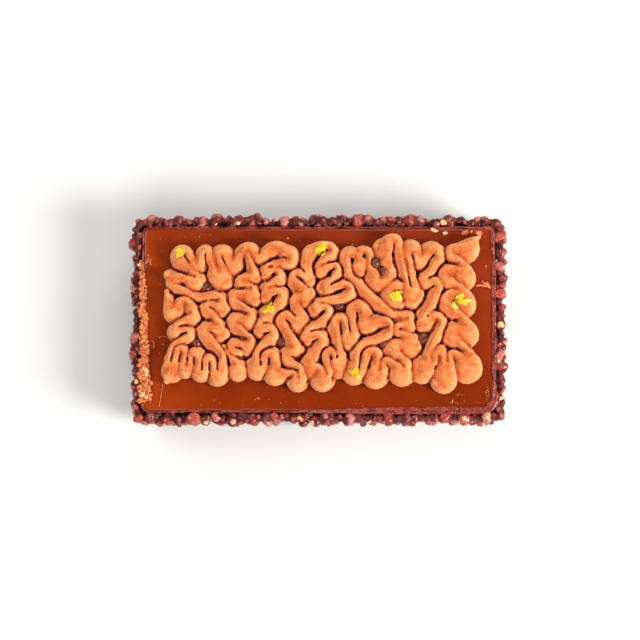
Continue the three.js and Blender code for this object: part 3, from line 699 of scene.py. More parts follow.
# ---- the glaze ------------------------------------------------------------------------------
def pulled_round(x, y, half_x, half_y, corner):
    """Brings a point of a rectangle inside its rounded corner."""
    cx, cy = half_x - corner, half_y - corner
    over_x, over_y = abs(x) - cx, abs(y) - cy
    if over_x > 0 and over_y > 0:
        reach = math.hypot(over_x, over_y)
        limit = max(over_x, over_y)
        if reach > 0:
            over_x, over_y = over_x * limit / reach, over_y * limit / reach
            return math.copysign(cx + over_x, x), math.copysign(cy + over_y, y)
    return x, y


def glaze_height(x, y):
    """The glaze's surface: a slow swell, and a small climb where it meets the rim."""
    edge = min(GLAZE_LENGTH / 2 - abs(x), GLAZE_WIDTH / 2 - abs(y))
    swell = 0.1 * ripple(x, y, 0, 26, 5) + 0.05 * ripple(x, y, 0, 9, 6)
    climb = 0.35 * math.exp(-max(0, edge) / 1.1)
    return GLAZE_TOP - 0.12 + swell * min(1, max(0, edge / 3)) + climb


def caramel_glaze_top():
    piece = added(bpy.ops.mesh.primitive_grid_add, x_subdivisions=200, y_subdivisions=104, size=1)
    piece.name = piece.data.name = "caramel_glaze_top"
    half_x, half_y = GLAZE_LENGTH / 2, GLAZE_WIDTH / 2
    spots = points_of(piece) * MM
    out = np.empty_like(spots)
    for i, (u, v, _) in enumerate(spots):
        x, y = pulled_round(u * GLAZE_LENGTH, v * GLAZE_WIDTH, half_x, half_y, GLAZE_CORNER)
        out[i] = (x, y, glaze_height(x, y))
    place_points(piece, out)
    worked(piece, "SOLIDIFY", thickness=2.6 * MM, offset=-1)
    return piece


def unit_ball(subdivisions):
    """The points and the faces of a ball of radius 1."""
    ball = added(bpy.ops.mesh.primitive_ico_sphere_add, subdivisions=subdivisions, radius=1)
    shape, faces = points_of(ball) * MM, [tuple(p.vertices) for p in ball.data.polygons]
    bpy.data.objects.remove(ball)
    return shape, faces


def crumb_kinds(count, low_y, low_z):
    """A few kinds of broken crumb, as (points, faces) of unit size."""
    kinds = []
    for k in range(count):
        shape, faces = unit_ball(2)
        stretch = np.array([1, random.uniform(low_y, 1), random.uniform(low_z, 1)])
        swell = uneven(shape, (0.28, 0.7, 40 + k), (0.12, 0.35, 60 + k), start=1)
        kinds.append((shape * swell[:, None] * stretch, faces))
    return kinds


def strewn(name, kinds, places):
    """One piece of many crumbs, each [x, y, z, size] with its own turn and shape."""
    points, faces = [], []
    for x, y, z, size in places:
        shape, sides = random.choice(kinds)
        turn = Matrix.Rotation(random.uniform(0, 6.28), 3, "Z") @ Matrix.Rotation(
            random.uniform(0, 6.28), 3, "X")
        spun = shape @ np.array(turn).T * size + np.array([x, y, z])
        base = len(points)
        points += spun.tolist()
        faces += [tuple(base + k for k in side) for side in sides]
    return new_piece(name, points, faces)


def golden_crumbs():
    """Golden crumbs along the glaze's left edge, closer and wider towards the front."""
    random.seed(71)
    kinds = crumb_kinds(6, 0.6, 0.5)
    places = []
    for _ in range(880):
        share = random.random() ** 0.75
        y = 33 - 80 * share + random.uniform(-1, 1)
        wide = 2.2 + 4.6 * share ** 1.2
        x = -102.3 + wide * random.random() ** 1.1 + 1.2 * ripple(0, y, 0, 5, 8)
        size = random.choice((0.45, 0.6, 0.7, 0.85, 1, 1.4)) * random.uniform(0.8, 1.15)
        z = GLAZE_TOP + 0.35 + size * 0.4 + random.uniform(0, 0.8) * share
        places.append([x, y, z, size])
    return strewn("golden_crumbs", kinds, places)


def sliver(x, y, z, long, wide, thick, turn):
    """A flat rounded flake of that half length, half width and half thickness."""
    centre = np.array([x, y, z])
    flake = added(bpy.ops.mesh.primitive_ico_sphere_add, subdivisions=4, radius=MM,
                  location=tuple(centre * MM), rotation=(0.12, 0, turn), scale=(long, wide, thick))
    return roughened(flake, centre, (0.35, 1.3, 22), (0.15, 0.5, 23))


def twig(name, spots, thick):
    """A thin crisp shard along a few [x, y, z] points, from a bevelled curve made a mesh."""
    start_clean()
    curve = bpy.data.curves.new(name, "CURVE")
    curve.dimensions = "3D"
    curve.bevel_depth = thick * MM
    curve.bevel_resolution = 2
    curve.use_fill_caps = True
    spline = curve.splines.new("NURBS")
    spline.points.add(len(spots) - 1)
    for k, (point, (x, y, z)) in enumerate(zip(spline.points, spots)):
        point.co = (x * MM, y * MM, z * MM, 1)
        point.radius = 0.55 + 0.45 * math.sin(math.pi * (k + 0.6) / len(spots))
    spline.use_endpoint_u = True
    spline.order_u = 3
    piece = bpy.data.objects.new(name, curve)
    bpy.context.scene.collection.objects.link(piece)
    take(piece)
    bpy.ops.object.convert(target="MESH")
    return bpy.context.object


def glaze_bits():
    """What lies on the glaze: crisp shards by the right rim, threads, and thin pale patches at
    the back. Heights are over the glaze."""
    shards = [
        (0.65, [93.8, 21.9, 0], [95.6, 20.4, 0.6], [97.6, 18.4, 0.3]),
        (0.6, [90.4, 19.1, 0], [93, 20.2, 0.5], [96.4, 18.6, 0.3]),
        (0.7, [96.6, 21.4, 0], [97.6, 19.2, 0.5], [98.6, 17.9, 0]),
        (0.22, [-91.5, -10.6, 0], [-90, -9.6, 0.3], [-87.3, -9.9, 0]),
        (0.2, [-89.2, -37.3, 0], [-89.8, -43, 0], [-91.2, -50.2, 0]),
        (0.4, [-98.5, 37.5, 0], [-97, 34.6, 0.7], [-99.4, 31.8, 0]),
        (0.35, [-95.8, 35.4, 0], [-97.8, 33.4, 0.5], [-96.2, 31, 0]),
        (0.3, [-95.6, -12, 0], [-93.4, -14, 0.5], [-94.6, -17, 0]),
    ]
    lift = GLAZE_TOP + 0.25
    parts = [twig("shard", [[x, y, lift + rise] for x, y, rise in spots], thick)
             for thick, *spots in shards]
    parts += [sliver(x, y, GLAZE_TOP + 0.05, *shape) for x, y, *shape in (
        (84.3, 50, 2.3, 1.2, 0.2, 0.3), (88, 50.6, 1, 0.6, 0.16, 0.8),
        (92.4, 49.8, 2, 1.2, 0.26, -0.5),
    )]
    return together(parts, "crisp_shards")


def nut_flakes():
    """Slivers and flakes of pale nut on the glaze, and tiny crumbs along the rim."""
    random.seed(89)
    kinds = crumb_kinds(4, 0.45, 0.25)
    places = [
        [96.3, 30.6, GLAZE_TOP + 0.4, 0.5],
        [96.4, 20.8, GLAZE_TOP + 0.4, 0.6], [76.7, -46.5, GLAZE_TOP + 0.3, 0.5],
        [76.4, -47.6, GLAZE_TOP + 0.3, 0.4],
    ]
    for k in range(16):
        places.append([96.6 + random.uniform(-1, 0.8), -38 - 11 * random.random(), GLAZE_TOP + 0.2,
                       random.uniform(0.16, 0.34)])
    for k in range(16):
        places.append([78.4 + 0.68 * k * (k < 8) + random.uniform(0, 14) * (k >= 8),
                       -43.2 - 4.6 * (k >= 8) + random.uniform(-0.3, 0.3), GLAZE_TOP + 0.15,
                       random.uniform(0.14, 0.24)])
    for k in range(40):
        side = random.choice((-1, 1))
        x = random.uniform(-96, 97)
        y = random.uniform(-49, 50) if abs(x) > 93 else random.uniform(45, 50) * side
        places.append([x, y, GLAZE_TOP + 0.1, random.uniform(0.12, 0.22)])
    parts = [strewn("small_flakes", kinds, places)]
    parts += [sliver(x, y, GLAZE_TOP + rise, *shape) for x, y, rise, *shape in (
        (66.7, 51.3, 0.5, 2.6, 1.05, 0.55, -0.45), (72.8, 49.6, 0.45, 1.5, 1, 0.5, 0.1),
        (-99.3, -29, 1.8, 2.4, 1.4, 0.8, -0.5), (-98.2, -31.4, 1.6, 1.6, 1.1, 0.8, 1),
        (-100.6, -43.4, 1.8, 2, 1.3, 0.8, 0.6), (-98.4, -44.8, 1.6, 1.7, 1.1, 0.7, -0.8),
    )]
    return together(parts, "nut_flakes")


def bubbles():
    """Small beads of glaze where air came up, each a low round dome."""
    random.seed(97)
    places = [[-17.7, 46.7, 0.9], [-34.5, -45.3, 0.8], [19.7, 43, 0.8], [-89.2, -14.5, 0.7]]
    places += [[random.uniform(-95, -86), random.uniform(-35, 47), random.uniform(0.25, 0.5)]
               for _ in range(16)]
    places += [[random.uniform(-80, 90), random.choice((-47, 48)) + random.uniform(-2, 2),
                random.uniform(0.2, 0.4)] for _ in range(18)]
    parts = [
        added(bpy.ops.mesh.primitive_uv_sphere_add, segments=16, ring_count=9, radius=size * MM,
              location=(x * MM, y * MM, (glaze_height(x, y) - 0.1) * MM), scale=(1, 1, 0.45))
        for x, y, size in places
    ]
    return together(parts, "glaze_bubbles")


# ---- the coat -------------------------------------------------------------------------------
def wall_spot(way, half_x, half_y):
    """A place on the block's wall, that far round it, with its outward direction."""
    long, short = 2 * half_x, 2 * half_y
    way %= 2 * (long + short)
    if way < long:
        return way - half_x, -half_y, (0, -1)
    way -= long
    if way < short:
        return half_x, way - half_y, (1, 0)
    way -= short
    if way < long:
        return half_x - way, half_y, (0, 1)
    return -half_x, half_y - (way - long), (-1, 0)


def chopped_kinds(count):
    """Nuts as they come from the chopper: rounded lumps with a few flat cuts."""
    kinds = []
    for k in range(count):
        shape, faces = unit_ball(3)
        for _ in range(k % 4):
            way = np.array([random.gauss(0, 1) for _ in range(3)])
            way /= np.linalg.norm(way)
            over = np.clip(shape @ way - random.uniform(0.55, 0.85), 0, None)
            shape -= over[:, None] * way
        shape *= uneven(shape, (0.3, 0.75, 100 + k), (0.12, 0.33, 200 + k), start=1)[:, None]
        shape *= np.array([1.08, random.uniform(0.6, 1), random.uniform(0.55, 0.95)])
        kinds.append((shape, faces))
    return kinds


def block():
    """The block under the nuts: a box with rounded upright corners, its top cut down
    where the glaze lies."""
    half_x, half_y = FOOT_LENGTH / 2 - 3.5, FOOT_WIDTH / 2 - 3.5
    piece = added(bpy.ops.mesh.primitive_cube_add, size=1, location=(0, 0, 21.25 * MM),
                  scale=(2 * half_x * MM, 2 * half_y * MM, 42.1 * MM))
    bpy.ops.object.mode_set(mode="EDIT")
    bpy.ops.mesh.select_all(action="DESELECT")
    bpy.ops.object.mode_set(mode="OBJECT")
    for edge in piece.data.edges:
        a, b = (piece.data.vertices[v].co for v in edge.vertices)
        edge.select = abs(a.z - b.z) > 10 * MM
    bpy.ops.object.mode_set(mode="EDIT")
    bpy.ops.mesh.select_mode(type="EDGE")
    bpy.ops.mesh.bevel(offset=BLOCK_CORNER * MM, segments=6)
    bpy.ops.mesh.select_all(action="DESELECT")
    bpy.ops.object.mode_set(mode="OBJECT")
    for face in piece.data.polygons:
        face.select = face.normal.z > 0.9
    bpy.ops.object.mode_set(mode="EDIT")
    bpy.ops.mesh.select_mode(type="FACE")
    bpy.ops.mesh.inset(thickness=3 * MM)
    bpy.ops.mesh.extrude_region_move(TRANSFORM_OT_translate={"value": (0, 0, -2.2 * MM)})
    bpy.ops.object.mode_set(mode="OBJECT")
    return piece


def nut_coat():
    """The block under rows of lumps round its walls and small ones round its top, melted into
    one. Marks say which lump each point lies on and where two lumps meet."""
    random.seed(19)
    kinds = chopped_kinds(12)
    half_x, half_y = FOOT_LENGTH / 2, FOOT_WIDTH / 2
    around = 4 * (half_x + half_y)
    places = []
    rows = 8
    for row in range(rows):
        z = 3.4 + row * (WALL_TOP - 4.4) / (rows - 1)
        count = round(around / 6)
        for i in range(count):
            way = around * (i + 0.5 * (row % 2) + 0.8 * (random.random() - 0.5)) / count
            size = random.choice((2.4, 2.8, 3.1, 3.5, 3.9, 4.3)) * random.uniform(0.9, 1.1)
            x, y, out = wall_spot(way, half_x, half_y)
            reach = random.uniform(-2.2, 0.9) + 1.6 * ripple(x, y, z, 12, 9)
            if random.random() < 0.16:
                reach = random.uniform(2.2, 4.2)
                size = random.uniform(2.8, 3.8)
            reach = min(3.7, reach, 1.75 * size - 2.2) - 0.93 * size
            if z > 34:
                reach = max(reach, 0.85 * size - 4.8)
            x, y = pulled_round(x, y, half_x, half_y, BLOCK_CORNER)
            x, y = x + out[0] * reach, y + out[1] * reach
            tall = z + random.uniform(-1.7, 1.7)
            places.append([x, y, max(size * 0.9, tall), size])
    small = round(around / 2.6)
    for i in range(small):
        x, y, out = wall_spot(around * (i + 0.7 * random.random()) / small, half_x, half_y)
        broad = lip_width(x, y)
        size = random.uniform(1.5, 2.7)
        reach = -random.uniform(0.4, 5 - size - broad)
        x, y = pulled_round(x, y, half_x, half_y, BLOCK_CORNER)
        x, y = x + out[0] * reach, y + out[1] * reach
        places.append([x, y, 41.6 + random.uniform(-0.5, 0.9) - 0.25 * size, size])
    lumps = strewn("lumps", kinds, places)
    lump_tree = lying(lumps)
    sides = len(kinds[0][1])
    piece = together([block(), lumps], "nut_coat")
    worked(piece, "REMESH", mode="VOXEL", voxel_size=COAT_VOXEL * MM, adaptivity=0)
    on_all_faces(bpy.ops.mesh.separate, type="LOOSE")
    pieces = sorted(bpy.context.selected_objects, key=lambda part: len(part.data.vertices))
    piece = pieces.pop()
    for loose in pieces:
        bpy.data.objects.remove(loose)
    piece.name = piece.data.name = "nut_coat"
    worked(piece, "SMOOTH", factor=0.3, iterations=1)
    points = points_of(piece)
    points += normals_of(piece) * uneven(points, (0.16, 1.7, 12), (0.1, 4, 13))[:, None]
    place_points(piece, kept_in_body(points))
    lightened(piece)
    points = points_of(piece)
    edges = edges_of(piece)
    mine = np.array([lump_tree.find_nearest(Vector(row))[2] // sides for row in points * MM])
    seam = np.zeros(len(points))
    seam[edges[mine[edges[:, 0]] != mine[edges[:, 1]]].ravel()] = 1
    seam = np.clip(evened(seam[:, None], edges, 1)[:, 0], 0, 1)
    points -= normals_of(piece) * 0.35 * seam[:, None]
    place_points(piece, kept_in_body(points))
    mark_crests(piece, 16, 1.2)
    marked(piece, "seam", seam)
    marked(piece, "lump", (mine * EVEN_SPREAD) % 1)
    return piece


def lip_width(x, y):
    """The smooth lip is broad, 1, on the right and by the front right corner, else thin, 0."""
    right = 0.45 * min(1, max(0, (x - 88) / 10))
    front = min(1, max(0, (-y - 40) / 8)) * min(1, max(0, (x + 20) / 60))
    return max(right, front)


def coat_lip():
    """The coat's smooth wavy lip round the glaze: one section carried round the rim."""
    half_x, half_y, corner = GLAZE_LENGTH / 2 + 0.3, GLAZE_WIDTH / 2 + 0.3, GLAZE_CORNER + 0.3
    wide = 2.2 * corner
    runs = [(half_x - corner, half_y - corner, corner), (-half_x + corner, half_y - corner, corner),
            (-half_x + corner, -half_y + corner, corner), (half_x - wide, -half_y + wide, wide)]
    rim = []
    for quarter, (cx, cy, corner) in enumerate(runs):
        for i in range(13):
            angle = (quarter + i / 12) * math.pi / 2
            rim.append((cx + corner * math.cos(angle), cy + corner * math.sin(angle),
                        math.cos(angle), math.sin(angle)))
        nx, ny, next_corner = runs[(quarter + 1) % 4]
        turned = (quarter + 1) * math.pi / 2
        way = (math.cos(turned), math.sin(turned))
        start = (cx + corner * way[0], cy + corner * way[1])
        end = (nx + next_corner * way[0], ny + next_corner * way[1])
        steps = int(math.dist(start, end) / 0.7)
        for i in range(1, steps):
            share = i / steps
            rim.append((start[0] + (end[0] - start[0]) * share,
                        start[1] + (end[1] - start[1]) * share, *way))
    section = [(-0.4, 41.5), (-0.3, 42.6), (-0.05, 43.35), (0.1, 43.85), (0.26, 44),
               (0.42, 43.75), (0.56, 43.7), (0.74, 44.05), (0.92, 43.95), (1.0, 43.6),
               (1.1, 42.2), (1.2, 40), (0.6, 38.5), (0, 38.5)]
    points, faces = [], []
    count = len(section)
    for x, y, nx, ny in rim:
        broad = lip_width(x, y)
        width = 1.1 + 0.9 * broad + 0.5 * ripple(x, y, 0, 11, 14)
        shift = 0.9 * ripple(x, y, 0, 12, 15) + 0.5 * ripple(x, y, 0, 4.6, 16) - 1.9 * broad
        rise = 0.4 * ripple(x, y, 0, 10, 17) + 0.25 * ripple(x, y, 0, 3.4, 18) - 0.3 * (1 - broad)
        filled = min(0.4, max(0, 0.1 + 1.2 * ripple(x, y, 0, 17, 21)))
        for across, z in section:
            if 0.3 < across < 0.6:
                z += filled
            out = across * (1 if across < 0 else width)
            out += shift * min(1, max(0, (0.95 - across) / 0.7))
            top = min(1, max(0, z - 42))
            points.append((x + nx * out, y + ny * out, z + rise * top))
    for i in range(len(rim)):
        j = (i + 1) % len(rim)
        for k in range(count):
            m = (k + 1) % count
            faces.append((i * count + k, j * count + k, j * count + m, i * count + m))
    piece = new_piece("coat_lip", points, faces)
    take(piece)
    on_all_faces(bpy.ops.mesh.normals_make_consistent, inside=False)
    worked(piece, "SUBSURF", levels=1, render_levels=1)
    points = points_of(piece)
    push = uneven(points, (0.25, 3.4, 19), (0.12, 1.3, 20))
    place_points(piece, points + normals_of(piece) * push[:, None])
    mark_crests(piece, 8, 0.3)
    return piece


def bare_nuts(coat_tree):
    """Pale bits of nut that the chocolate missed, half sunk in the coat."""
    random.seed(53)
    kinds = crumb_kinds(6, 0.6, 0.5)
    seen = [(-64.7, -58.4), (-48.7, -58.4), (-10.5, -56.7), (-3.7, -59), (29.9, -57.9),
            (-46.5, 55.6), (-61.8, -51), (83, -57), (97, -55), (103.6, -24), (105, -3), (104, -45),
            (-103, 31), (-105, 7), (72, 55.6), (-104, -36)]
    places = []
    for x, y in seen:
        tall = height_under(coat_tree, x, y, 30)
        for _ in range(2):
            places.append([x + random.uniform(-0.8, 0.8), y + random.uniform(-0.6, 0.6),
                           max(tall, 12) - 0.3, random.uniform(1.1, 1.8)])
    around = 2 * (FOOT_LENGTH + FOOT_WIDTH)
    for _ in range(110):
        x, y, out = wall_spot(random.uniform(0, around), FOOT_LENGTH / 2, FOOT_WIDTH / 2)
        z = random.uniform(2.5, 39)
        start = Vector(((x + out[0] * 12) * MM, (y + out[1] * 12) * MM, z * MM))
        hit = coat_tree.ray_cast(start, Vector((-out[0], -out[1], 0)))[0]
        if hit:
            size = random.uniform(0.4, 1.0)
            places.append([hit.x / MM - out[0] * 0.3, hit.y / MM - out[1] * 0.3, z, size])
    piece = strewn("bare_nuts", kinds, places)
    place_points(piece, kept_in_body(points_of(piece)))
    return piece


# ---- finishes -------------------------------------------------------------------------------
class Value:
    """A number on its way through a finish; arithmetic on it adds the nodes."""

    def __init__(self, paint, socket):
        self.paint = paint
        self.socket = socket

    def joined(self, operation, first, second):
        settings = {"operation": operation}
        return self.paint.node("ShaderNodeMath", settings, {0: first, 1: second})

    def __add__(self, other):
        return self.joined("ADD", self, other)

    def __radd__(self, other):
        return self.joined("ADD", other, self)

    def __sub__(self, other):
        return self.joined("SUBTRACT", self, other)

    def __mul__(self, other):
        return self.joined("MULTIPLY", self, other)

    def __rmul__(self, other):
        return self.joined("MULTIPLY", other, self)


def rgb(red, green, blue):
    """A colour as a screen shows it, 0 to 255, turned into the shader's linear one."""
    line = [c / 255 for c in (red, green, blue)]
    return (*[c / 12.92 if c <= 0.04045 else ((c + 0.055) / 1.055) ** 2.4 for c in line], 1)


class Paint:
    """One finish, with its pattern read from the place on the piece."""

    def __init__(self, name, **numbers):
        self.material = bpy.data.materials.new(name)
        self.material.use_nodes = True
        self.tree = self.material.node_tree
        self.shader = self.tree.nodes["Principled BSDF"]
        for socket, value in numbers.items():
            self.shader.inputs[socket.replace("_", " ")].default_value = value
        self.place = self.node("ShaderNodeTexCoord", {}, {}, "Object")

    def node(self, kind, settings, sockets, output=0):
        made = self.tree.nodes.new(kind)
        for name, value in settings.items():
            setattr(made, name, value)
        for key, value in sockets.items():
            self.feed(made.inputs[key], value)
        return Value(self, made.outputs[output])

    def feed(self, socket, value):
        if isinstance(value, Value):
            self.tree.links.new(value.socket, socket)
        else:
            socket.default_value = value

    def to_shader(self, **links):
        for socket, value in links.items():
            self.feed(self.shader.inputs[socket.replace("_", " ")], value)

    def noise(self, size, detail=2, roughness=0.5):
        """Noise with features of that size in millimetres."""
        return self.node("ShaderNodeTexNoise", {}, {
            "Vector": self.place, "Scale": 1 / (size * MM), "Detail": detail,
            "Roughness": roughness,
        })

    def cells(self, size):
        """The distance to the nearest of scattered spots, that far apart in millimetres."""
        return self.node("ShaderNodeTexVoronoi", {}, {
            "Vector": self.place, "Scale": 1 / (size * MM),
        }, "Distance")

    def ramp(self, value, *stops):
        """The colour at that value, from stops of (value, red, green, blue)."""
        made = self.node("ShaderNodeValToRGB", {}, {0: value})
        known = made.socket.node.color_ramp.elements
        for k, (spot, *colour) in enumerate(stops):
            stop = known[k] if k < len(known) else known.new(spot)
            stop.position, stop.color = spot, rgb(*colour)
        return made

    def spread(self, value, low, high):
        """0 below low, 1 above high, and smooth between."""
        return self.node("ShaderNodeMapRange", {"interpolation_type": "SMOOTHSTEP"}, {
            0: value, 1: low, 2: high, 3: 0, 4: 1,
        })

    def mix(self, share, first, second, how="MIX"):
        return self.node("ShaderNodeMix", {"data_type": "RGBA", "blend_type": how}, {
            0: share, 6: first, 7: second,
        }, 2)

    def mark(self, name):
        """The number that the piece keeps at each point under that name."""
        return self.node("ShaderNodeAttribute", {"attribute_name": name}, {}, "Fac")

    def axis(self, which):
        return self.node("ShaderNodeSeparateXYZ", {}, {0: self.place}, which)

    def bump(self, height, distance, strength):
        normal = self.node("ShaderNodeBump", {}, {
            "Strength": strength, "Distance": distance * MM, "Height": height,
        })
        self.to_shader(Normal=normal)


def cream_finish():
    """Sprayed cream: matte velvet, with painted highlights on the ridges and steep sides, painted
    shade in the dents, and fine pores in the dents.
    """
    paint = Paint("velvet_cream", Roughness=0.8, Specular_IOR_Level=0.15, Sheen_Weight=0.05,
                  Sheen_Roughness=0.5)
    # Painted shade and highlight: the ramp on crest runs from dark brown in the dents to pale on
    # the ridges.
    stand = paint.mark("crest") + 0.22 * paint.noise(7, 3) - 0.11
    tone = paint.ramp(stand, (0.0, 60, 18, 1), (0.26, 128, 50, 12), (0.46, 184, 88, 38),
                      (0.64, 205, 114, 59), (0.9, 240, 166, 108))
    facing = paint.node("ShaderNodeTexCoord", {}, {}, "Normal")
    level = paint.node("ShaderNodeSeparateXYZ", {}, {0: facing}, "Z")
    steep = paint.spread(level, 0.8, 0.35)
    flat = paint.spread(level, 0.62, 0.92)
    # Painted highlight: steep sides away from the dents are lightened towards a pale peach, as rim
    # light.
    light = steep * paint.spread(paint.mark("crest"), 0.3, 0.5)
    colour = paint.mix(0.55 * light, tone, rgb(246, 166, 112))
    blotch = paint.spread(paint.noise(4.5, 4, 0.6), 0.38, 0.66)
    colour = paint.mix((0.16 + 0.5 * blotch) * flat, colour, rgb(172, 72, 24))
    fine = paint.noise(0.8, 3, 0.7)
    colour = paint.mix(0.55 * paint.spread(fine, 0.5, 0.66), colour, rgb(164, 68, 24))
    colour = paint.mix(0.3 * paint.spread(fine, 0.46, 0.34), colour, rgb(244, 168, 108))
    pore_place = paint.spread(paint.noise(6.5, 3), 0.46, 0.62) * flat
    pores = paint.spread(paint.cells(1.1) + 0.3 * fine, 0.42, 0.3) * pore_place
    colour = paint.mix(0.6 * pores, colour, rgb(110, 36, 10))
    paint.to_shader(Base_Color=colour)
    paint.bump(fine * 0.5 + paint.noise(1.4, 2) * 0.5 - pores * 0.9, 0.14, 0.8)
    return paint


def coat_finish(name, plain):
    """Chocolate over chopped nuts: each lump its own red brown, glossy, with painted shade in its
    dents and in the gaps between lumps.
    """
    paint = Paint(name, Specular_IOR_Level=0.3, Coat_Roughness=0.14, Coat_IOR=1.45)
    own = paint.ramp(
        paint.mark("lump") + 0.2 * paint.noise(1.6, 3) - 0.1,
        (0.0, 96, 18, 12), (0.3, 134, 38, 26), (0.55, 160, 58, 42),
        (0.75, 166, 74, 60), (0.92, 184, 106, 92), (1.0, 112, 26, 18),
    )
    shade = paint.ramp(
        paint.mark("crest") + 0.2 * paint.noise(2.2, 3) - 0.1,
        (0.0, 70, 20, 20), (0.3, 120, 70, 70), (0.46, 200, 180, 180), (0.62, 252, 250, 250),
    )
    colour = paint.mix(1.0, own, shade, "MULTIPLY")
    # Painted shade: where two lumps meet, the colour is darkened almost to black.
    gap = paint.spread(paint.mark("seam"), 0.15, 1)
    colour = paint.mix(0.75 * gap, colour, rgb(30, 3, 2))
    plain_tone = paint.mix(paint.spread(paint.noise(3, 3), 0.35, 0.65), rgb(94, 22, 18),
                           rgb(152, 62, 52))
    colour = paint.mix(plain, colour, plain_tone)
    paint.to_shader(
        Base_Color=colour,
        Roughness=0.16 + 0.2 * paint.noise(1.1, 2) + 0.5 * gap,
        Coat_Weight=0.8 * paint.spread(paint.noise(2.6, 2) - 0.5 * gap, 0.35, 0.55),
    )
    paint.bump(paint.noise(0.9, 4, 0.6) + 0.3 * paint.noise(0.35, 2), 0.24, 0.8)
    return paint


def glaze_finish():
    """Caramel glaze: deep and glossy, more orange at the left, redder at the back and right."""
    paint = Paint("caramel_glaze", Roughness=0.12, Specular_IOR_Level=0.3, Coat_Weight=0.15,
                  Coat_Roughness=0.04)
    across, back = paint.axis("X"), paint.axis("Y")
    left = paint.spread(across + 0.02 * paint.noise(30, 2), -0.04, -0.1)
    red = paint.spread(back * 1.3 + across * 0.5 + 0.03 * paint.noise(24, 2), -0.01, 0.09)
    colour = paint.mix(left, rgb(122, 38, 1), rgb(146, 52, 8))
    colour = paint.mix(red, colour, rgb(126, 42, 14))
    front = paint.spread(across - 3 * back, 0.14, 0.24)
    colour = paint.mix(0.6 * front, colour, rgb(100, 30, 1))
    colour = paint.mix(0.5 * paint.spread(paint.noise(13, 3), 0.4, 0.7), colour, rgb(108, 31, 1))
    speck = paint.spread(paint.cells(3.1), 0.085, 0.04)
    colour = paint.mix(0.5 * speck, colour, rgb(214, 110, 60))
    paint.to_shader(Base_Color=colour)
    paint.bump(paint.noise(5, 2) + 0.2 * speck, 0.06, 0.5)
    return paint


def plain_finish(name, dark, light, size, roughness, depth, **numbers):
    """A finish that goes between two colours, in patches of that size."""
    paint = Paint(name, **numbers)
    patches = paint.noise(size, 4, 0.6)
    paint.to_shader(
        Base_Color=paint.mix(paint.spread(patches, 0.36, 0.64), dark, light),
        Roughness=roughness + 0.15 * patches,
    )
    paint.bump(paint.noise(size * 0.4, 3, 0.6), depth, 0.8)
    return paint


def leaf_finish():
    """Gold leaf: bright lemon gold, with painted highlights on its creases and painted shade in its
    folds.
    """
    paint = Paint("gold_leaf", Metallic=0.35, Specular_IOR_Level=0.6)
    # Painted highlight and shade: the ramp on crest runs from brown in the folds to pale on the
    # creases.
    folds = paint.mark("crest") + 0.4 * paint.noise(0.8, 3) - 0.2
    tone = paint.ramp(folds, (0.0, 120, 78, 2), (0.4, 196, 156, 4), (0.7, 226, 196, 16),
                      (1.0, 240, 224, 90))
    paint.to_shader(Base_Color=tone, Roughness=0.3 + 0.2 * paint.noise(0.7, 2))
    paint.bump(paint.noise(0.5, 3), 0.1, 0.8)
    return paint


# ---- the cake -------------------------------------------------------------------------------
cream = piped_ribbon()
cream_tree = lying(cream)
coat = nut_coat()
coat_tree = lying(coat)

dressed(cream, cream_finish(), "cream", "piped_cream")
dressed(pearls(), plain_finish("pearl_chocolate", rgb(62, 18, 6), rgb(124, 48, 22), 2.2, 0.3, 0.06,
                               Specular_IOR_Level=0.25, Coat_Weight=0.3), "cream")
dressed(gold_leaf(cream_tree), leaf_finish(), "cream")
dressed(coat, coat_finish("nut_chocolate", 0.0), "nut_coating", "cake_body")
dressed(coat_lip(), coat_finish("lip_chocolate", 0.75), "nut_coating")
bare = plain_finish("bare_nut", rgb(196, 132, 76), rgb(240, 206, 150), 1.1, 0.5, 0.1)
dressed(bare_nuts(coat_tree), bare, "nut_coating")
dressed(caramel_glaze_top(), glaze_finish(), "glaze", "caramel_glaze")
bead = Paint("glaze_bead", Base_Color=rgb(176, 72, 28), Roughness=0.12)
dressed(bubbles(), bead, "glaze")
crumb = plain_finish("golden_crumb", rgb(150, 56, 18), rgb(230, 136, 72), 1.5, 0.42, 0.12,
                     Coat_Weight=0.2)
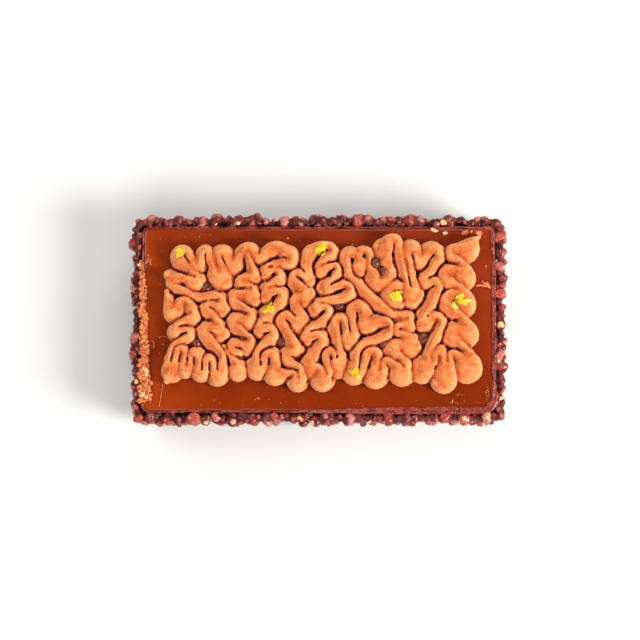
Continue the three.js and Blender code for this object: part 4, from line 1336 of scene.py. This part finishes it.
dressed(golden_crumbs(), crumb, "glaze")
crisp = plain_finish("crisp_shard", rgb(190, 84, 40), rgb(232, 140, 84), 1.2, 0.4, 0.05)
dressed(glaze_bits(), crisp, "glaze")
dressed(nut_flakes(), bare, "glaze")

# ---- floor, light and camera ----------------------------------------------------------------
start_clean()
bpy.ops.mesh.primitive_plane_add(size=4, location=(0, 0, -0.0004))
floor = bpy.context.object
floor.name = "floor"
ground = Paint("pale_floor", Base_Color=(0.7, 0.69, 0.67, 1), Roughness=0.9)
floor.data.materials.append(ground.material)


def soft_light(name, place, size, power, colour=(1, 1, 1)):
    start_clean()
    bpy.ops.object.light_add(type="AREA", location=place)
    light = bpy.context.object
    light.name = name
    light.data.shape = "DISK"
    light.data.size = size
    light.data.energy = power
    light.data.color = colour
    light.rotation_euler = (-Vector(place)).to_track_quat("-Z", "Y").to_euler()


soft_light("key_light", (0.82, -0.3, 0.72), 0.55, 18, (1, 0.98, 0.95))
soft_light("left_light", (-0.75, 0.35, 0.95), 0.8, 8)
soft_light("back_light", (0.2, 0.95, 0.8), 0.8, 6)
soft_light("front_light", (-0.1, -0.95, 0.8), 0.9, 6)

world = bpy.data.worlds.new("studio")
bpy.context.scene.world = world
world.use_nodes = True
world.node_tree.nodes["Background"].inputs["Color"].default_value = (1, 0.985, 0.97, 1)
world.node_tree.nodes["Background"].inputs["Strength"].default_value = 0.12

ELEVATION = math.radians(86)
DISTANCE = 0.9
SENSOR = 36
SEEN_WIDTH = 0.3648
AIM = Vector((0.00086, -0.00086, 0.049))
start_clean()
back = Vector((0, -math.cos(ELEVATION), math.sin(ELEVATION)))
bpy.ops.object.camera_add(location=AIM + back * DISTANCE)
camera = bpy.context.object
camera.rotation_euler = (math.pi / 2 - ELEVATION, 0, 0)
camera.data.sensor_width = SENSOR
camera.data.lens = SENSOR * DISTANCE / SEEN_WIDTH
camera.data.clip_start = 0.01
camera.data.clip_end = 20
bpy.context.scene.camera = camera
bpy.context.scene.view_settings.view_transform = "Standard"

start_clean()
